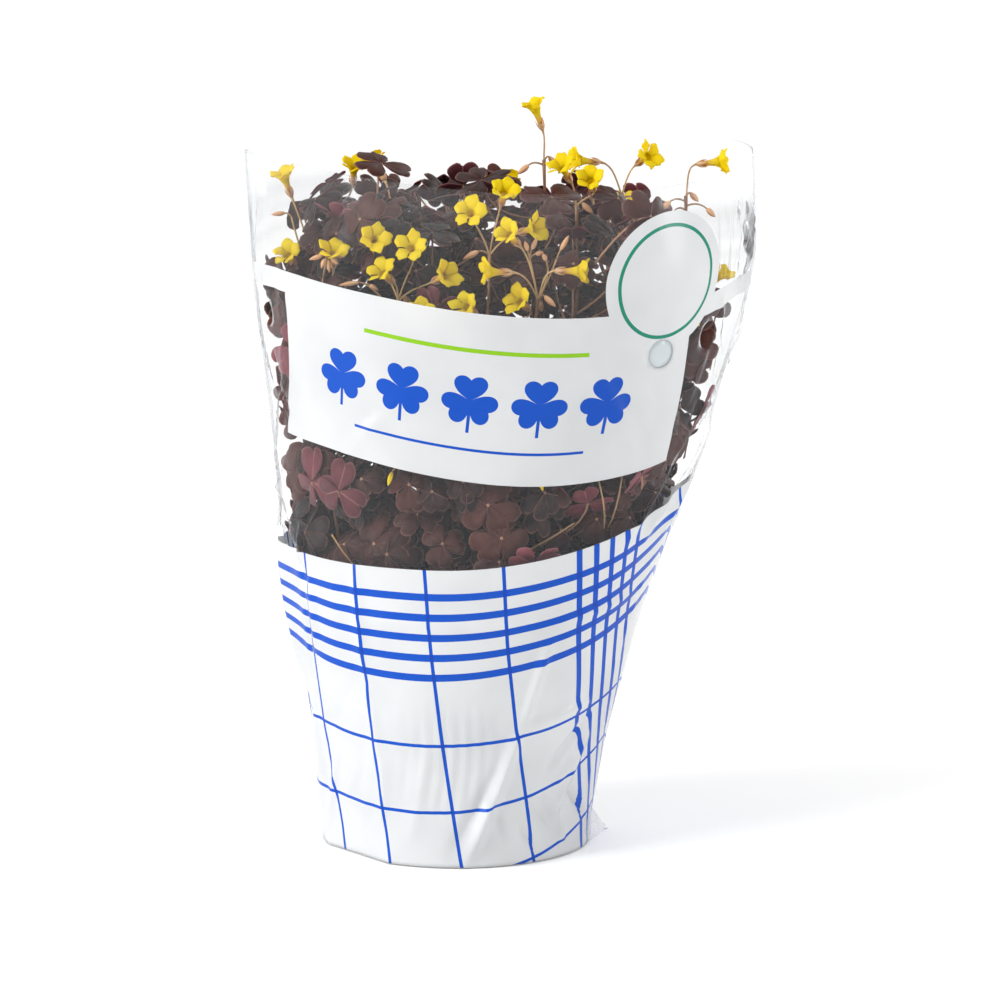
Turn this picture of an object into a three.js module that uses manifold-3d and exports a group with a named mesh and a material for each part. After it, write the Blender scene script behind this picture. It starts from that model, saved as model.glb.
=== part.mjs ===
// Potted oxalis in a printed film sleeve: a nursery pot of soil, a bush of dark three-leaflet leaves,
// yellow trumpet flowers on forked stalks, and a welded cone of clear film round it all.
// Millimetres, +Z up. The origin is the centre of the pot's base, on the surface that it stands on,
// and the printed front faces -Y.
import * as THREE from 'three';
import { mergeVertices } from 'three/addons/utils/BufferGeometryUtils.js';
import Module from 'manifold-3d';

// Driving dimensions
const CLEARANCE = 0.3;
const MERGE_TOLERANCE = 0.05;
const ROUND_SIDES = 36;

const POT = {
  baseRadius: 44,
  shoulderRadius: 55.6,
  shoulderZ: 85,
  rimRadius: 58.8,
  height: 92,
  wall: 1.2,
  floor: 1.6,
  lipGrooveZ: 90.4,
  drainRadius: 4,
  drainRing: 27,
  drainCount: 6,
};

const SOIL = { edgeZ: 83, crownZ: 84.5, rootDepth: 12 };

// The sleeve leans to +X as it rises. Each station is a height, a centre in X, and the outer
// half-width and half-depth of its oval section.
const SLEEVE = {
  wall: 0.8,
  stations: [
    { z: 0.5, x: 0, halfWidth: 49, halfDepth: 48 },
    { z: 45, x: 1.3, halfWidth: 54.6, halfDepth: 54 },
    { z: 85, x: 3.8, halfWidth: 63.8, halfDepth: 61.6 },
    { z: 130, x: 9.2, halfWidth: 74, halfDepth: 65.8 },
    { z: 175, x: 14, halfWidth: 83, halfDepth: 70.4 },
    { z: 215, x: 16.8, halfWidth: 91, halfDepth: 76 },
    { z: 256, x: 15.8, halfWidth: 91, halfDepth: 81 },
  ],
  rimFrontZ: 246.5,
  rimSideZ: 254,
  ventRadius: 5.2,
  // Punched through the flat sleeve, so that each vent of the front has one behind it.
  frontVents: [
    { degrees: -72.4, z: 198.3 },
    { degrees: 41.7, z: 188 },
    { degrees: 58.7, z: 192.3 },
  ],
};

// Stems and stalks stand in columns, which widen from the soil to the film as they rise.
const COLUMN = { soilRadius: 52, startZ: 96, endZ: 150, filmMargin: 5 };

const LEAF = {
  count: 72,
  thickness: 0.7,
  petioleRadius: 0.6,
  seed: 20517,
  tries: 900,
  lowestZ: 98,
  highestZ: 243,
  smallest: 0.88,
  largest: 1.12,
};

// Stems stand lower towards the edge of the bush, and every three of them are cut back by steps.
const STEM = {
  count: 14,
  radius: 1.2,
  spread: 0.86,
  shyOfStalks: 0.13,
  tallestZ: 230,
  edgeDrop: 20,
  stepDown: 8,
};
const STALK = { radius: 0.8, pedicelRadius: 0.55 };
const COROLLA = { length: 8, mouthRadius: 6.2, throatRadius: 2.8, baseRadius: 1.1, wall: 0.7 };
const CALYX = { length: 3, mouthRadius: 1.6, neckRadius: 0.75 };
const BUD = { length: 6, radius: 1.4, tipRadius: 0.3 };

// Beads are balls that keep the pieces apart: how far apart they stand along a stem, how much wider
// than a stem they are, and where a leaflet's ball sits.
const BEAD = { spacing: 3, margin: 0.8, leaflet: 5.4, leafletReach: 6.2, leafletSag: 0.9, bud: 3.4 };

// One entry for each flower stalk: where it forks, and each bloom's foot and where the bloom looks.
const SPRAYS = [
  { fork: [31.6, 5, 250], blooms: [{ foot: [31, 5, 261], look: [-0.35, -0.1, 1] }], buds: 2 },
  {
    fork: [59.5, -5, 239],
    blooms: [
      { foot: [51.5, -8, 250.5], look: [-1, -0.35, 0.12] },
      { foot: [64.5, -7, 249.5], look: [0.62, -0.75, 0.55] },
    ],
    buds: 2,
  },
  {
    fork: [43, -16, 236],
    blooms: [
      { foot: [41, -19, 244.5], look: [-0.45, -0.5, 0.8] },
      { foot: [49, -25, 242], look: [-0.2, -0.8, 0.65] },
    ],
    buds: 1,
  },
  { fork: [82.5, -5, 238], blooms: [{ foot: [86.5, -5, 249.5], look: [1, -0.1, 0.12] }], buds: 4 },
  {
    fork: [-53, 11, 214],
    blooms: [
      { foot: [-60, 11, 236], look: [-0.32, -0.2, 0.9] },
      { foot: [-38, 14, 240], look: [0.1, -0.5, 0.86] },
    ],
    buds: 1,
  },
  {
    fork: [-50, -27, 196],
    blooms: [
      { foot: [-57.5, -14, 214], look: [-0.35, -0.7, 0.6] },
      { foot: [-43, -40, 216.5], look: [0, -0.6, 0.8] },
    ],
    buds: 1,
  },
  {
    fork: [-20, -46, 206],
    blooms: [
      { foot: [-29, -45, 224.5], look: [0.1, -0.85, 0.52] },
      { foot: [-14.5, -49, 222], look: [-0.1, -0.85, 0.5] },
      { foot: [-21.5, -50.5, 212.5], look: [-0.5, -0.55, 0.55] },
      { foot: [-8, -52, 213], look: [0.6, -0.7, 0.4] },
    ],
    buds: 2,
  },
  {
    fork: [12, -44, 222],
    blooms: [
      { foot: [6.5, -50, 234.5], look: [-0.15, -0.85, 0.5] },
      { foot: [16, -44, 239], look: [0.15, -0.7, 0.7] },
      { foot: [22, -46, 229.5], look: [0.75, -0.6, 0.3] },
    ],
    buds: 1,
  },
  {
    fork: [29, -56, 208],
    blooms: [
      { foot: [22.5, -57, 226.5], look: [-0.5, -0.62, 0.6] },
      { foot: [20, -61, 217.5], look: [-1, -0.15, 0.05] },
      { foot: [35, -60, 218], look: [1, -0.1, 0] },
    ],
    buds: 2,
  },
  {
    fork: [9, -51, 190],
    blooms: [
      { foot: [26, -57, 204], look: [-0.45, -0.62, 0.45] },
      { foot: [7.5, -58, 202.5], look: [-0.5, -0.7, 0.45] },
      { foot: [-11, -56.5, 199], look: [-0.15, -0.75, 0.55] },
    ],
    buds: 1,
  },
  {
    fork: [82, -18, 188],
    blooms: [
      { foot: [90, -14, 205], look: [0.55, -0.35, 0.75] },
      { foot: [78, -27, 191], look: [0.42, -0.5, 0.65] },
    ],
    buds: 1,
  },
  {
    fork: [57, 32, 214],
    blooms: [
      { foot: [61, 30, 225], look: [0.2, -0.4, 0.9] },
      { foot: [50, 44, 231], look: [-0.1, 0.55, 0.8] },
    ],
    buds: 2,
  },
  { fork: [-24, 44, 222], blooms: [{ foot: [-27, 47, 238], look: [-0.4, 0.5, 0.8] }], buds: 2 },
  { fork: [14, 52, 216], blooms: [{ foot: [16, 55, 231], look: [0.3, 0.75, 0.6] }], buds: 1 },
];

// Leaves that stand clear of the film's rim: where the three leaflets meet, and their upward normal.
const CROWN_LEAVES = [
  { hub: [-27, 0, 249.5], normal: [0.25, -0.25, 1] },
  { hub: [9, -20, 245.5], normal: [-0.2, -0.35, 1] },
  { hub: [34, -34, 241], normal: [0.15, -0.5, 1] },
  { hub: [-46, 4, 236], normal: [-0.2, -0.5, 1] },
];

const COLOURS = {
  pot: 0x2b2624,
  soil: 0x3b2a20,
  film: 0xeef1f4,
  leaf: 0x3a1419,
  stalk: 0xc79a6b,
  petal: 0xffcb12,
};

// Small mathematics

const UP = new THREE.Vector3(0, 0, 1);

function vector(list) {
  return new THREE.Vector3(list[0], list[1], list[2]);
}

function mix(a, b, t) {
  return a + (b - a) * t;
}

function smoothStep(from, to, value) {
  const t = Math.min(Math.max((value - from) / (to - from), 0), 1);
  return t * t * (3 - 2 * t);
}

// A repeatable source of random numbers from 0 to 1.
function randomSource(seed) {
  let state = seed;
  return () => {
    state = (state * 16807) % 2147483647;
    return state / 2147483647;
  };
}

// Solids

const wasm = await Module();
wasm.setup();

function solidOf(geometry) {
  const bare = geometry.clone();
  bare.deleteAttribute('normal');
  bare.deleteAttribute('uv');
  const merged = mergeVertices(bare, 1e-4);
  const vertProperties = Float32Array.from(merged.attributes.position.array);
  const triVerts = Uint32Array.from(merged.index.array);
  return new wasm.Manifold(new wasm.Mesh({ numProp: 3, vertProperties, triVerts }));
}

function geometryOf(solid) {
  const mesh = solid.getMesh();
  const geometry = new THREE.BufferGeometry();
  geometry.setAttribute('position', new THREE.BufferAttribute(mesh.vertProperties, 3));
  geometry.setIndex(new THREE.BufferAttribute(mesh.triVerts, 1));
  geometry.computeVertexNormals();
  return geometry;
}

// Fuses pieces that grow from one another, and fills any small hollow that fusing seals.
function joined(geometries) {
  const solids = geometries.map(solidOf);
  const whole = solids.reduce((sum, piece) => sum.add(piece)).simplify(MERGE_TOLERANCE);
  const shells = whole.decompose();
  return geometryOf(shells.reduce((best, shell) => (shell.volume() > best.volume() ? shell : best)));
}

function indexedGeometry(points, triangles) {
  const geometry = new THREE.BufferGeometry();
  const flat = points.flatMap((point) => [point.x, point.y, point.z]);
  geometry.setAttribute('position', new THREE.Float32BufferAttribute(flat, 3));
  geometry.setIndex(triangles);
  geometry.computeVertexNormals();
  return geometry;
}

function upright(radius, lowZ, highZ, x, y, sides) {
  const geometry = new THREE.CylinderGeometry(radius, radius, highZ - lowZ, sides);
  geometry.rotateX(Math.PI / 2);
  geometry.translate(x, y, (lowZ + highZ) / 2);
  return geometry;
}

// Rings of points round a path, one for each of its points. The first ring's axis is carried along.
function sweptRings(path, radii, sides, firstAxis) {
  let axis = firstAxis;
  return path.map((point, i) => {
    const before = path[Math.max(i - 1, 0)];
    const after = path[Math.min(i + 1, path.length - 1)];
    const tangent = after.clone().sub(before).normalize();
    axis = axis.clone().addScaledVector(tangent, -axis.dot(tangent)).normalize();
    const across = new THREE.Vector3().crossVectors(tangent, axis);
    const ring = [];
    for (let side = 0; side < sides; side += 1) {
      const angle = (side / sides) * Math.PI * 2;
      const out = axis.clone().multiplyScalar(Math.cos(angle)).addScaledVector(across, Math.sin(angle));
      ring.push(point.clone().addScaledVector(out, radii[i]));
    }
    return ring;
  });
}

// Two triangles for each side between one ring and the next, facing out.
function wallTriangles(sides, bands, at) {
  const triangles = [];
  for (let band = 0; band < bands; band += 1) {
    for (let side = 0; side < sides; side += 1) {
      triangles.push(at(band, side), at(band, side + 1), at(band + 1, side + 1));
      triangles.push(at(band, side), at(band + 1, side + 1), at(band + 1, side));
    }
  }
  return triangles;
}

// A closed stem along a path, with a radius at each of its points.
function stemSolid(path, radii, sides) {
  const firstAxis = new THREE.Vector3(1, 0.3, 0.1);
  const rings = sweptRings(path, radii, sides, firstAxis);
  const at = (ring, side) => ring * sides + (side % sides);
  const triangles = wallTriangles(sides, rings.length - 1, at);
  for (let side = 1; side < sides - 1; side += 1) {
    triangles.push(at(0, 0), at(0, side + 1), at(0, side));
    triangles.push(at(rings.length - 1, 0), at(rings.length - 1, side), at(rings.length - 1, side + 1));
  }
  return indexedGeometry(rings.flat(), triangles);
}

function evenStem(curve, radius, sides, steps) {
  const path = curve.getPoints(steps);
  return stemSolid(path, path.map(() => radius), sides);
}

function lathe(profile) {
  const points = profile.map(([radius, z]) => new THREE.Vector2(radius, z));
  const geometry = new THREE.LatheGeometry(points, ROUND_SIDES);
  geometry.rotateX(Math.PI / 2);
  return geometry;
}

// The pot and its soil

function potInnerRadius(z) {
  return mix(POT.baseRadius, POT.shoulderRadius, z / POT.shoulderZ) - POT.wall;
}

function potGeometry() {
  const skirtRadius = POT.rimRadius - POT.wall;
  const bodyTopRadius = potInnerRadius(POT.lipGrooveZ) + POT.wall;
  const body = lathe([
    [0, 0],
    [POT.baseRadius, 0],
    [bodyTopRadius, POT.lipGrooveZ],
    [skirtRadius, POT.lipGrooveZ],
    [skirtRadius, POT.shoulderZ],
    [POT.rimRadius, POT.shoulderZ],
    [POT.rimRadius, POT.height],
    [potInnerRadius(POT.height), POT.height],
    [potInnerRadius(POT.floor), POT.floor],
    [0, POT.floor],
  ]);
  let pot = solidOf(body);
  for (let i = 0; i < POT.drainCount; i += 1) {
    const angle = ((i + 0.5) / POT.drainCount) * Math.PI * 2;
    const x = POT.drainRing * Math.cos(angle);
    const y = POT.drainRing * Math.sin(angle);
    pot = pot.subtract(solidOf(upright(POT.drainRadius, -1, POT.floor + 1, x, y, 10)));
  }
  return geometryOf(pot);
}

function soilGeometry(roots) {
  const lowZ = POT.floor + CLEARANCE;
  const body = lathe([
    [0, lowZ],
    [potInnerRadius(lowZ) - CLEARANCE, lowZ],
    [potInnerRadius(SOIL.edgeZ) - CLEARANCE, SOIL.edgeZ],
    [0, SOIL.crownZ],
  ]);
  let soil = solidOf(body);
  for (const root of roots) {
    const bottom = SOIL.edgeZ - SOIL.rootDepth;
    const hole = upright(root.radius + CLEARANCE, bottom, SOIL.crownZ + 5, root.x, root.y, 6);
    soil = soil.subtract(solidOf(hole));
  }
  return geometryOf(soil);
}

// The film sleeve

function sleeveSection(z) {
  const stations = SLEEVE.stations;
  let i = 0;
  while (i < stations.length - 2 && z > stations[i + 1].z) i += 1;
  const low = stations[i];
  const high = stations[i + 1];
  const t = (z - low.z) / (high.z - low.z);
  return {
    x: mix(low.x, high.x, t),
    halfWidth: mix(low.halfWidth, high.halfWidth, t),
    halfDepth: mix(low.halfDepth, high.halfDepth, t),
  };
}

// A point on the sleeve, angle 0 at the printed front and 90 degrees at +X.
function sleevePoint(angle, z, inset) {
  const section = sleeveSection(z);
  const x = section.x + (section.halfWidth - inset) * Math.sin(angle);
  const y = -(section.halfDepth - inset) * Math.cos(angle);
  return new THREE.Vector3(x, y, z);
}

function sleeveRimZ(angle) {
  return mix(SLEEVE.rimFrontZ, SLEEVE.rimSideZ, Math.sin(angle) ** 2);
}

function sleeveGeometry() {
  const rings = SLEEVE.stations.length;
  const points = [];
  for (const inset of [0, SLEEVE.wall]) {
    for (let ring = 0; ring < rings; ring += 1) {
      for (let side = 0; side < ROUND_SIDES; side += 1) {
        const angle = (side / ROUND_SIDES) * Math.PI * 2;
        const z = ring === rings - 1 ? sleeveRimZ(angle) : SLEEVE.stations[ring].z;
        points.push(sleevePoint(angle, z, inset));
      }
    }
  }
  const at = (layer, ring, side) => (layer * rings + ring) * ROUND_SIDES + (side % ROUND_SIDES);
  const triangles = [];
  const quad = (a, b, c, d) => triangles.push(a, b, c, a, c, d);
  for (let side = 0; side < ROUND_SIDES; side += 1) {
    const next = side + 1;
    for (let ring = 0; ring < rings - 1; ring += 1) {
      quad(at(0, ring, side), at(0, ring, next), at(0, ring + 1, next), at(0, ring + 1, side));
      quad(at(1, ring, next), at(1, ring, side), at(1, ring + 1, side), at(1, ring + 1, next));
    }
    const top = rings - 1;
    quad(at(0, top, side), at(0, top, next), at(1, top, next), at(1, top, side));
    quad(at(1, 0, side), at(1, 0, next), at(0, 0, next), at(0, 0, side));
  }
  let sleeve = solidOf(indexedGeometry(points, triangles));
  for (const vent of SLEEVE.frontVents) {
    for (const degrees of [vent.degrees, 180 - vent.degrees]) {
      sleeve = sleeve.subtract(solidOf(ventPunch(THREE.MathUtils.degToRad(degrees), vent.z)));
    }
  }
  return geometryOf(sleeve);
}

// A short cylinder that stands straight out through the sleeve.
function ventPunch(angle, z) {
  const punch = new THREE.CylinderGeometry(SLEEVE.ventRadius, SLEEVE.ventRadius, 12, 10);
  const outward = new THREE.Vector3(Math.sin(angle), -Math.cos(angle), 0);
  punch.applyQuaternion(new THREE.Quaternion().setFromUnitVectors(new THREE.Vector3(0, 1, 0), outward));
  const centre = sleevePoint(angle, z, 0);
  punch.translate(centre.x, centre.y, centre.z);
  return punch;
}

// Columns: (u, v) is a place in the unit disc, and stays the same all the way up a column.

function columnOval(z) {
  const section = sleeveSection(z);
  const t = smoothStep(COLUMN.startZ, COLUMN.endZ, z);
  return {
    x: section.x * t,
    halfWidth: mix(COLUMN.soilRadius, section.halfWidth - COLUMN.filmMargin, t),
    halfDepth: mix(COLUMN.soilRadius, section.halfDepth - COLUMN.filmMargin, t),
  };
}

function columnPoint(column, z) {
  const oval = columnOval(z);
  const x = oval.x + oval.halfWidth * column.u;
  return new THREE.Vector3(x, oval.halfDepth * column.v, z);
}

function columnThrough(point) {
  const oval = columnOval(point.z);
  return { u: (point.x - oval.x) / oval.halfWidth, v: point.y / oval.halfDepth };
}

class ColumnCurve extends THREE.Curve {
  constructor(column, lowZ, highZ) {
    super();
    this.column = column;
    this.lowZ = lowZ;
    this.highZ = highZ;
  }

  getPoint(t) {
    return columnPoint(this.column, mix(this.lowZ, this.highZ, t));
  }
}

const beads = [];

function addBead(point, radius, owner) {
  beads.push({ x: point.x, y: point.y, z: point.z, radius, owner });
}

function isClear(point, radius, owner) {
  for (const bead of beads) {
    if (owner !== null && bead.owner === owner) continue;
    const dx = bead.x - point.x;
    const dy = bead.y - point.y;
    const dz = bead.z - point.z;
    const reach = bead.radius + radius;
    if (dx * dx + dy * dy + dz * dz < reach * reach) return false;
  }
  return true;
}

// Flower stalks

const rootZ = SOIL.edgeZ - SOIL.rootDepth + CLEARANCE;

function bloomAxis(bloom) {
  return vector(bloom.look).normalize();
}

// A pedicel parts from the fork towards its bloom, and comes to the bloom from behind.
function pedicelCurve(fork, bloom) {
  const foot = vector(bloom.foot);
  const start = fork.clone().addScaledVector(UP, -STALK.radius);
  const reach = foot.distanceTo(fork);
  const rise = start.clone().lerp(foot, 0.25).addScaledVector(UP, reach * 0.18);
  const arrive = foot.clone().addScaledVector(bloomAxis(bloom), -reach * 0.35);
  return new THREE.CubicBezierCurve3(start, rise, arrive, foot);
}

// Buds stand round the fork by turns of the golden angle, away from the blooms.
function budCurves(spray, index) {
  const fork = vector(spray.fork);
  const curves = [];
  for (let i = 0; i < spray.buds; i += 1) {
    const angle = 1.1 + index * 2.1 + i * 2.4;
    const length = 4 + 2 * i;
    const out = new THREE.Vector3(Math.cos(angle), Math.sin(angle) * 0.6, 0);
    const start = fork.clone().addScaledVector(UP, -0.4 - 1.6 * i);
    const middle = start.clone().addScaledVector(out, length * 0.6).addScaledVector(UP, 2);
    const end = start.clone().addScaledVector(out, length).addScaledVector(UP, 1.2 - i);
    curves.push(new THREE.QuadraticBezierCurve3(start, middle, end));
  }
  return curves;
}

// A bud on its short stem, as one tapering stem.
function budGeometry(curve) {
  const axis = curve.getTangent(1);
  const neck = curve.getPoint(1);
  const along = (distance) => neck.clone().addScaledVector(axis, distance);
  const path = [curve.getPoint(0), neck, along(BUD.length * 0.45), along(BUD.length)];
  return stemSolid(path, [STALK.pedicelRadius, STALK.pedicelRadius, BUD.radius, BUD.tipRadius], 3);
}

// A pedicel that widens at its end into the calyx cup.
function pedicelGeometry(fork, bloom) {
  const path = pedicelCurve(fork, bloom).getPoints(3);
  const radii = path.map(() => STALK.pedicelRadius);
  radii[3] = CALYX.neckRadius;
  path.push(vector(bloom.foot).addScaledVector(bloomAxis(bloom), CALYX.length));
  radii.push(CALYX.mouthRadius);
  return stemSolid(path, radii, 4);
}

function stalkGeometry(spray, index) {
  const fork = vector(spray.fork);
  const column = columnThrough(fork);
  const pieces = [evenStem(new ColumnCurve(column, rootZ, fork.z), STALK.radius, 4, 6)];
  spray.blooms.forEach((bloom) => pieces.push(pedicelGeometry(fork, bloom)));
  budCurves(spray, index).forEach((curve) => pieces.push(budGeometry(curve)));
  return joined(pieces);
}

// Corollas: a hollow trumpet whose rim runs out into five petals. It stands just off its calyx.

function corollaGeometry(bloom) {
  const { length, mouthRadius, throatRadius, baseRadius, wall } = COROLLA;
  const sides = 10;
  const isPetal = (side) => side % 2 === 0;
  const edgeRadius = (side) => (isPetal(side) ? mouthRadius : throatRadius * 1.4);
  const edgeZ = (side) => (isPetal(side) ? length : length * 0.84);
  const rings = [
    () => [baseRadius, 0],
    () => [throatRadius, length * 0.75],
    (side) => [edgeRadius(side), edgeZ(side)],
    (side) => [edgeRadius(side) - 0.2, edgeZ(side) + wall],
  ];
  const points = [new THREE.Vector3(0, 0, 0)];
  for (const ring of rings) {
    for (let side = 0; side < sides; side += 1) {
      const [radius, along] = ring(side);
      const angle = (side / sides) * Math.PI * 2;
      points.push(new THREE.Vector3(radius * Math.cos(angle), radius * Math.sin(angle), along));
    }
  }
  points.push(new THREE.Vector3(0, 0, length * 0.55));
  const last = points.length - 1;
  const top = rings.length - 1;
  const at = (ring, side) => 1 + ring * sides + (side % sides);
  const triangles = wallTriangles(sides, top, at);
  for (let side = 0; side < sides; side += 1) {
    triangles.push(0, at(0, side + 1), at(0, side), last, at(top, side), at(top, side + 1));
  }
  const axis = bloomAxis(bloom);
  const turn = new THREE.Quaternion().setFromUnitVectors(UP, axis);
  const start = vector(bloom.foot).addScaledVector(axis, CALYX.length + CLEARANCE);
  points.forEach((point) => point.applyQuaternion(turn).add(start));
  return indexedGeometry(points, triangles);
}

// Leafy stems

// The stems' columns follow a sunflower spiral, and each is pushed off any stalk that it is close to.
function stemColumns(stalkColumns) {
  const columns = [];
  for (let i = 0; i < STEM.count; i += 1) {
    const ring = Math.sqrt((i + 0.5) / STEM.count) * STEM.spread;
    const angle = i * Math.PI * (3 - Math.sqrt(5));
    const column = { u: ring * Math.cos(angle), v: ring * Math.sin(angle) };
    for (const stalk of stalkColumns) {
      const du = column.u - stalk.u;
      const dv = column.v - stalk.v;
      const distance = Math.sqrt(du * du + dv * dv);
      if (distance < STEM.shyOfStalks) {
        column.u = stalk.u + (du / distance) * STEM.shyOfStalks;
        column.v = stalk.v + (dv / distance) * STEM.shyOfStalks;
      }
    }
    columns.push(column);
  }
  return columns;
}

function stemTopZ(column, index) {
  const radius = Math.sqrt(column.u * column.u + column.v * column.v);
  return STEM.tallestZ - STEM.edgeDrop * radius * radius - STEM.stepDown * (index % 3);
}

// A leaf's frame: its hub, its normal, and the heading of its first leaflet.
function leafFrame(hub, normal, heading, size) {
  const up = normal.clone().normalize();
  const east = new THREE.Vector3(1, 0, 0).addScaledVector(up, -up.x).normalize();
  const north = new THREE.Vector3().crossVectors(up, east);
  return { hub, up, east, north, heading, size };
}

// A point of a leaf: a distance from the hub, an angle round it, and a height over its plane.
function leafPoint(leaf, distance, angle, height) {
  const turned = leaf.heading + angle;
  return leaf.hub
    .clone()
    .addScaledVector(leaf.east, leaf.size * distance * Math.cos(turned))
    .addScaledVector(leaf.north, leaf.size * distance * Math.sin(turned))
    .addScaledVector(leaf.up, height);
}

function leafletCentres(leaf) {
  const turn = (Math.PI * 2) / 3;
  return [0, 1, 2].map((k) => leafPoint(leaf, BEAD.leafletReach, k * turn, -BEAD.leafletSag));
}

// Half of a leaflet's outline, from the notch between leaflets to its own notch: distance from the
// hub, degrees off the midrib, and height. Each leaflet is a heart that folds down from its midrib.
const LEAFLET_SIDE = [
  [8.2, 39, -2.2],
  [11, 21, -2.5],
];
const LEAFLET_NOTCH = [8.5, 0, -1.2];
const LEAF_SINUS = [1.8, 60, -0.4];

// A leaf and its petiole as one closed solid. The blade's under face runs into the petiole's wall.
function leafGeometry(leaf, petiole) {
  const outline = [];
  for (let k = 0; k < 3; k += 1) {
    const middle = k * 120;
    outline.push([LEAF_SINUS[0], middle - LEAF_SINUS[1], LEAF_SINUS[2]]);
    for (const [distance, off, height] of LEAFLET_SIDE) outline.push([distance, middle - off, height]);
    outline.push([LEAFLET_NOTCH[0], middle, LEAFLET_NOTCH[2]]);
    for (const [distance, off, height] of [...LEAFLET_SIDE].reverse()) {
      outline.push([distance, middle + off, height]);
    }
  }
  const count = outline.length;
  const perLeaflet = count / 3;
  const points = [leaf.hub.clone()];
  for (const drop of [0, LEAF.thickness]) {
    for (const [distance, degrees, height] of outline) {
      points.push(leafPoint(leaf, distance, THREE.MathUtils.degToRad(degrees), height - drop));
    }
  }
  const path = petiole.getPoints(2).reverse();
  path[0] = leaf.hub.clone().addScaledVector(leaf.up, -LEAF.thickness);
  const firstAxis = leafPoint(leaf, 1, 0, 0).sub(leaf.hub);
  const radii = path.map(() => LEAF.petioleRadius);
  const rings = sweptRings(path, radii, 3, firstAxis);
  const ringStart = points.length;
  points.push(...rings.flat());

  const over = (k, i) => 1 + ((k * perLeaflet + i) % count);
  const under = (k, i) => count + over(k, i);
  const at = (ring, side) => ringStart + ring * 3 + ((6 - side) % 3);
  const triangles = wallTriangles(3, path.length - 1, (ring, side) => ringStart + ring * 3 + (side % 3));
  const foot = path.length - 1;
  triangles.push(at(foot, 0), at(foot, 2), at(foot, 1));
  for (let k = 0; k < 3; k += 1) {
    for (const [face, hub, flip] of [
      [over, 0, false],
      [under, at(0, k), true],
    ]) {
      const corners = [
        [hub, face(k, 0), face(k, 1)],
        [hub, face(k, 1), face(k, 3)],
        [face(k, 1), face(k, 2), face(k, 3)],
        [hub, face(k, 3), face(k, 5)],
        [face(k, 3), face(k, 4), face(k, 5)],
        [hub, face(k, 5), face(k, 6)],
      ];
      for (const [a, b, c] of corners) triangles.push(a, ...(flip ? [c, b] : [b, c]));
    }
    triangles.push(at(0, k), at(0, k + 1), under(k, 6));
  }
  for (let i = 0; i < count; i += 1) {
    const a = over(0, i);
    const b = over(0, i + 1);
    triangles.push(a, count + a, count + b, a, count + b, b);
  }
  return indexedGeometry(points, triangles);
}

function petioleCurve(start, leaf) {
  const end = leaf.hub.clone().addScaledVector(leaf.up, -LEAF.thickness * 0.5);
  const reach = end.distanceTo(start);
  const bend = end.clone().addScaledVector(leaf.up, -reach * 0.5);
  return new THREE.QuadraticBezierCurve3(start, bend, end);
}

function beadsOfCurve(curve) {
  const count = Math.max(Math.ceil(curve.getLength() / BEAD.spacing), 2);
  return curve.getPoints(count);
}

function insideSleeve(point, margin) {
  if (point.z > SLEEVE.rimFrontZ - 4) return true;
  const section = sleeveSection(point.z);
  const across = (point.x - section.x) / (section.halfWidth - margin);
  const deep = point.y / (section.halfDepth - margin);
  return across * across + deep * deep < 1;
}

// A leaf fits where its leaflets and its petiole are clear of everything placed before.
function leafFits(leaf, petiole, owner) {
  for (const centre of leafletCentres(leaf)) {
    if (!insideSleeve(centre, SLEEVE.wall + BEAD.leafletReach * leaf.size)) return false;
    if (!isClear(centre, BEAD.leaflet * leaf.size, null)) return false;
  }
  const points = beadsOfCurve(petiole).slice(1);
  return points.every((point) => isClear(point, LEAF.petioleRadius + BEAD.margin, owner));
}

function placeLeaf(stem, leaf, petiole) {
  leafletCentres(leaf).forEach((centre) => addBead(centre, BEAD.leaflet * leaf.size, 'leaflet'));
  const radius = LEAF.petioleRadius + BEAD.margin;
  beadsOfCurve(petiole).forEach((point) => addBead(point, radius, stem.name));
  stem.leaves.push({ leaf, petiole });
}

function nearestStem(stems, point) {
  let best = null;
  let bestDistance = Infinity;
  for (const stem of stems) {
    const z = Math.min(point.z - 12, stem.topZ);
    const distance = columnPoint(stem.column, z).distanceTo(point);
    if (distance < bestDistance) {
      bestDistance = distance;
      best = stem;
    }
  }
  return best;
}

function growCrown(stems) {
  for (const crown of CROWN_LEAVES) {
    const hub = vector(crown.hub);
    const stem = nearestStem(stems, hub);
    const leaf = leafFrame(hub, vector(crown.normal), hub.x * 0.7, 1.05);
    const petiole = petioleCurve(columnPoint(stem.column, Math.min(hub.z - 12, stem.topZ)), leaf);
    placeLeaf(stem, leaf, petiole);
  }
}

// Leaves look outward from the bush's axis, more so near the film.
function leafNormal(column, random) {
  const lean = 0.15 + 0.9 * (column.u * column.u + column.v * column.v);
  const x = column.u * lean + 0.5 * (random() - 0.5);
  const y = column.v * lean + 0.5 * (random() - 0.5);
  return new THREE.Vector3(x, y, 0.75);
}

function growLeaves(stems) {
  const random = randomSource(LEAF.seed);
  for (let n = 0; n < LEAF.count; n += 1) {
    const stem = stems[n % stems.length];
    for (let attempt = 0; attempt < LEAF.tries; attempt += 1) {
      const startZ = mix(LEAF.lowestZ - 8, stem.topZ, random());
      const start = columnPoint(stem.column, startZ);
      const angle = random() * Math.PI * 2;
      const reach = 4 + 17 * random();
      const rise = 7 + 16 * random();
      const heading = random() * Math.PI * 2;
      const size = mix(LEAF.smallest, LEAF.largest, random());
      const out = new THREE.Vector3(Math.cos(angle) * reach, Math.sin(angle) * reach, rise);
      const hub = start.clone().add(out);
      const leaf = leafFrame(hub, leafNormal(columnThrough(hub), random), heading, size);
      const petiole = petioleCurve(start, leaf);
      if (hub.z < LEAF.lowestZ || hub.z > LEAF.highestZ) continue;
      if (!leafFits(leaf, petiole, stem.name)) continue;
      placeLeaf(stem, leaf, petiole);
      break;
    }
  }
}

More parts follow.
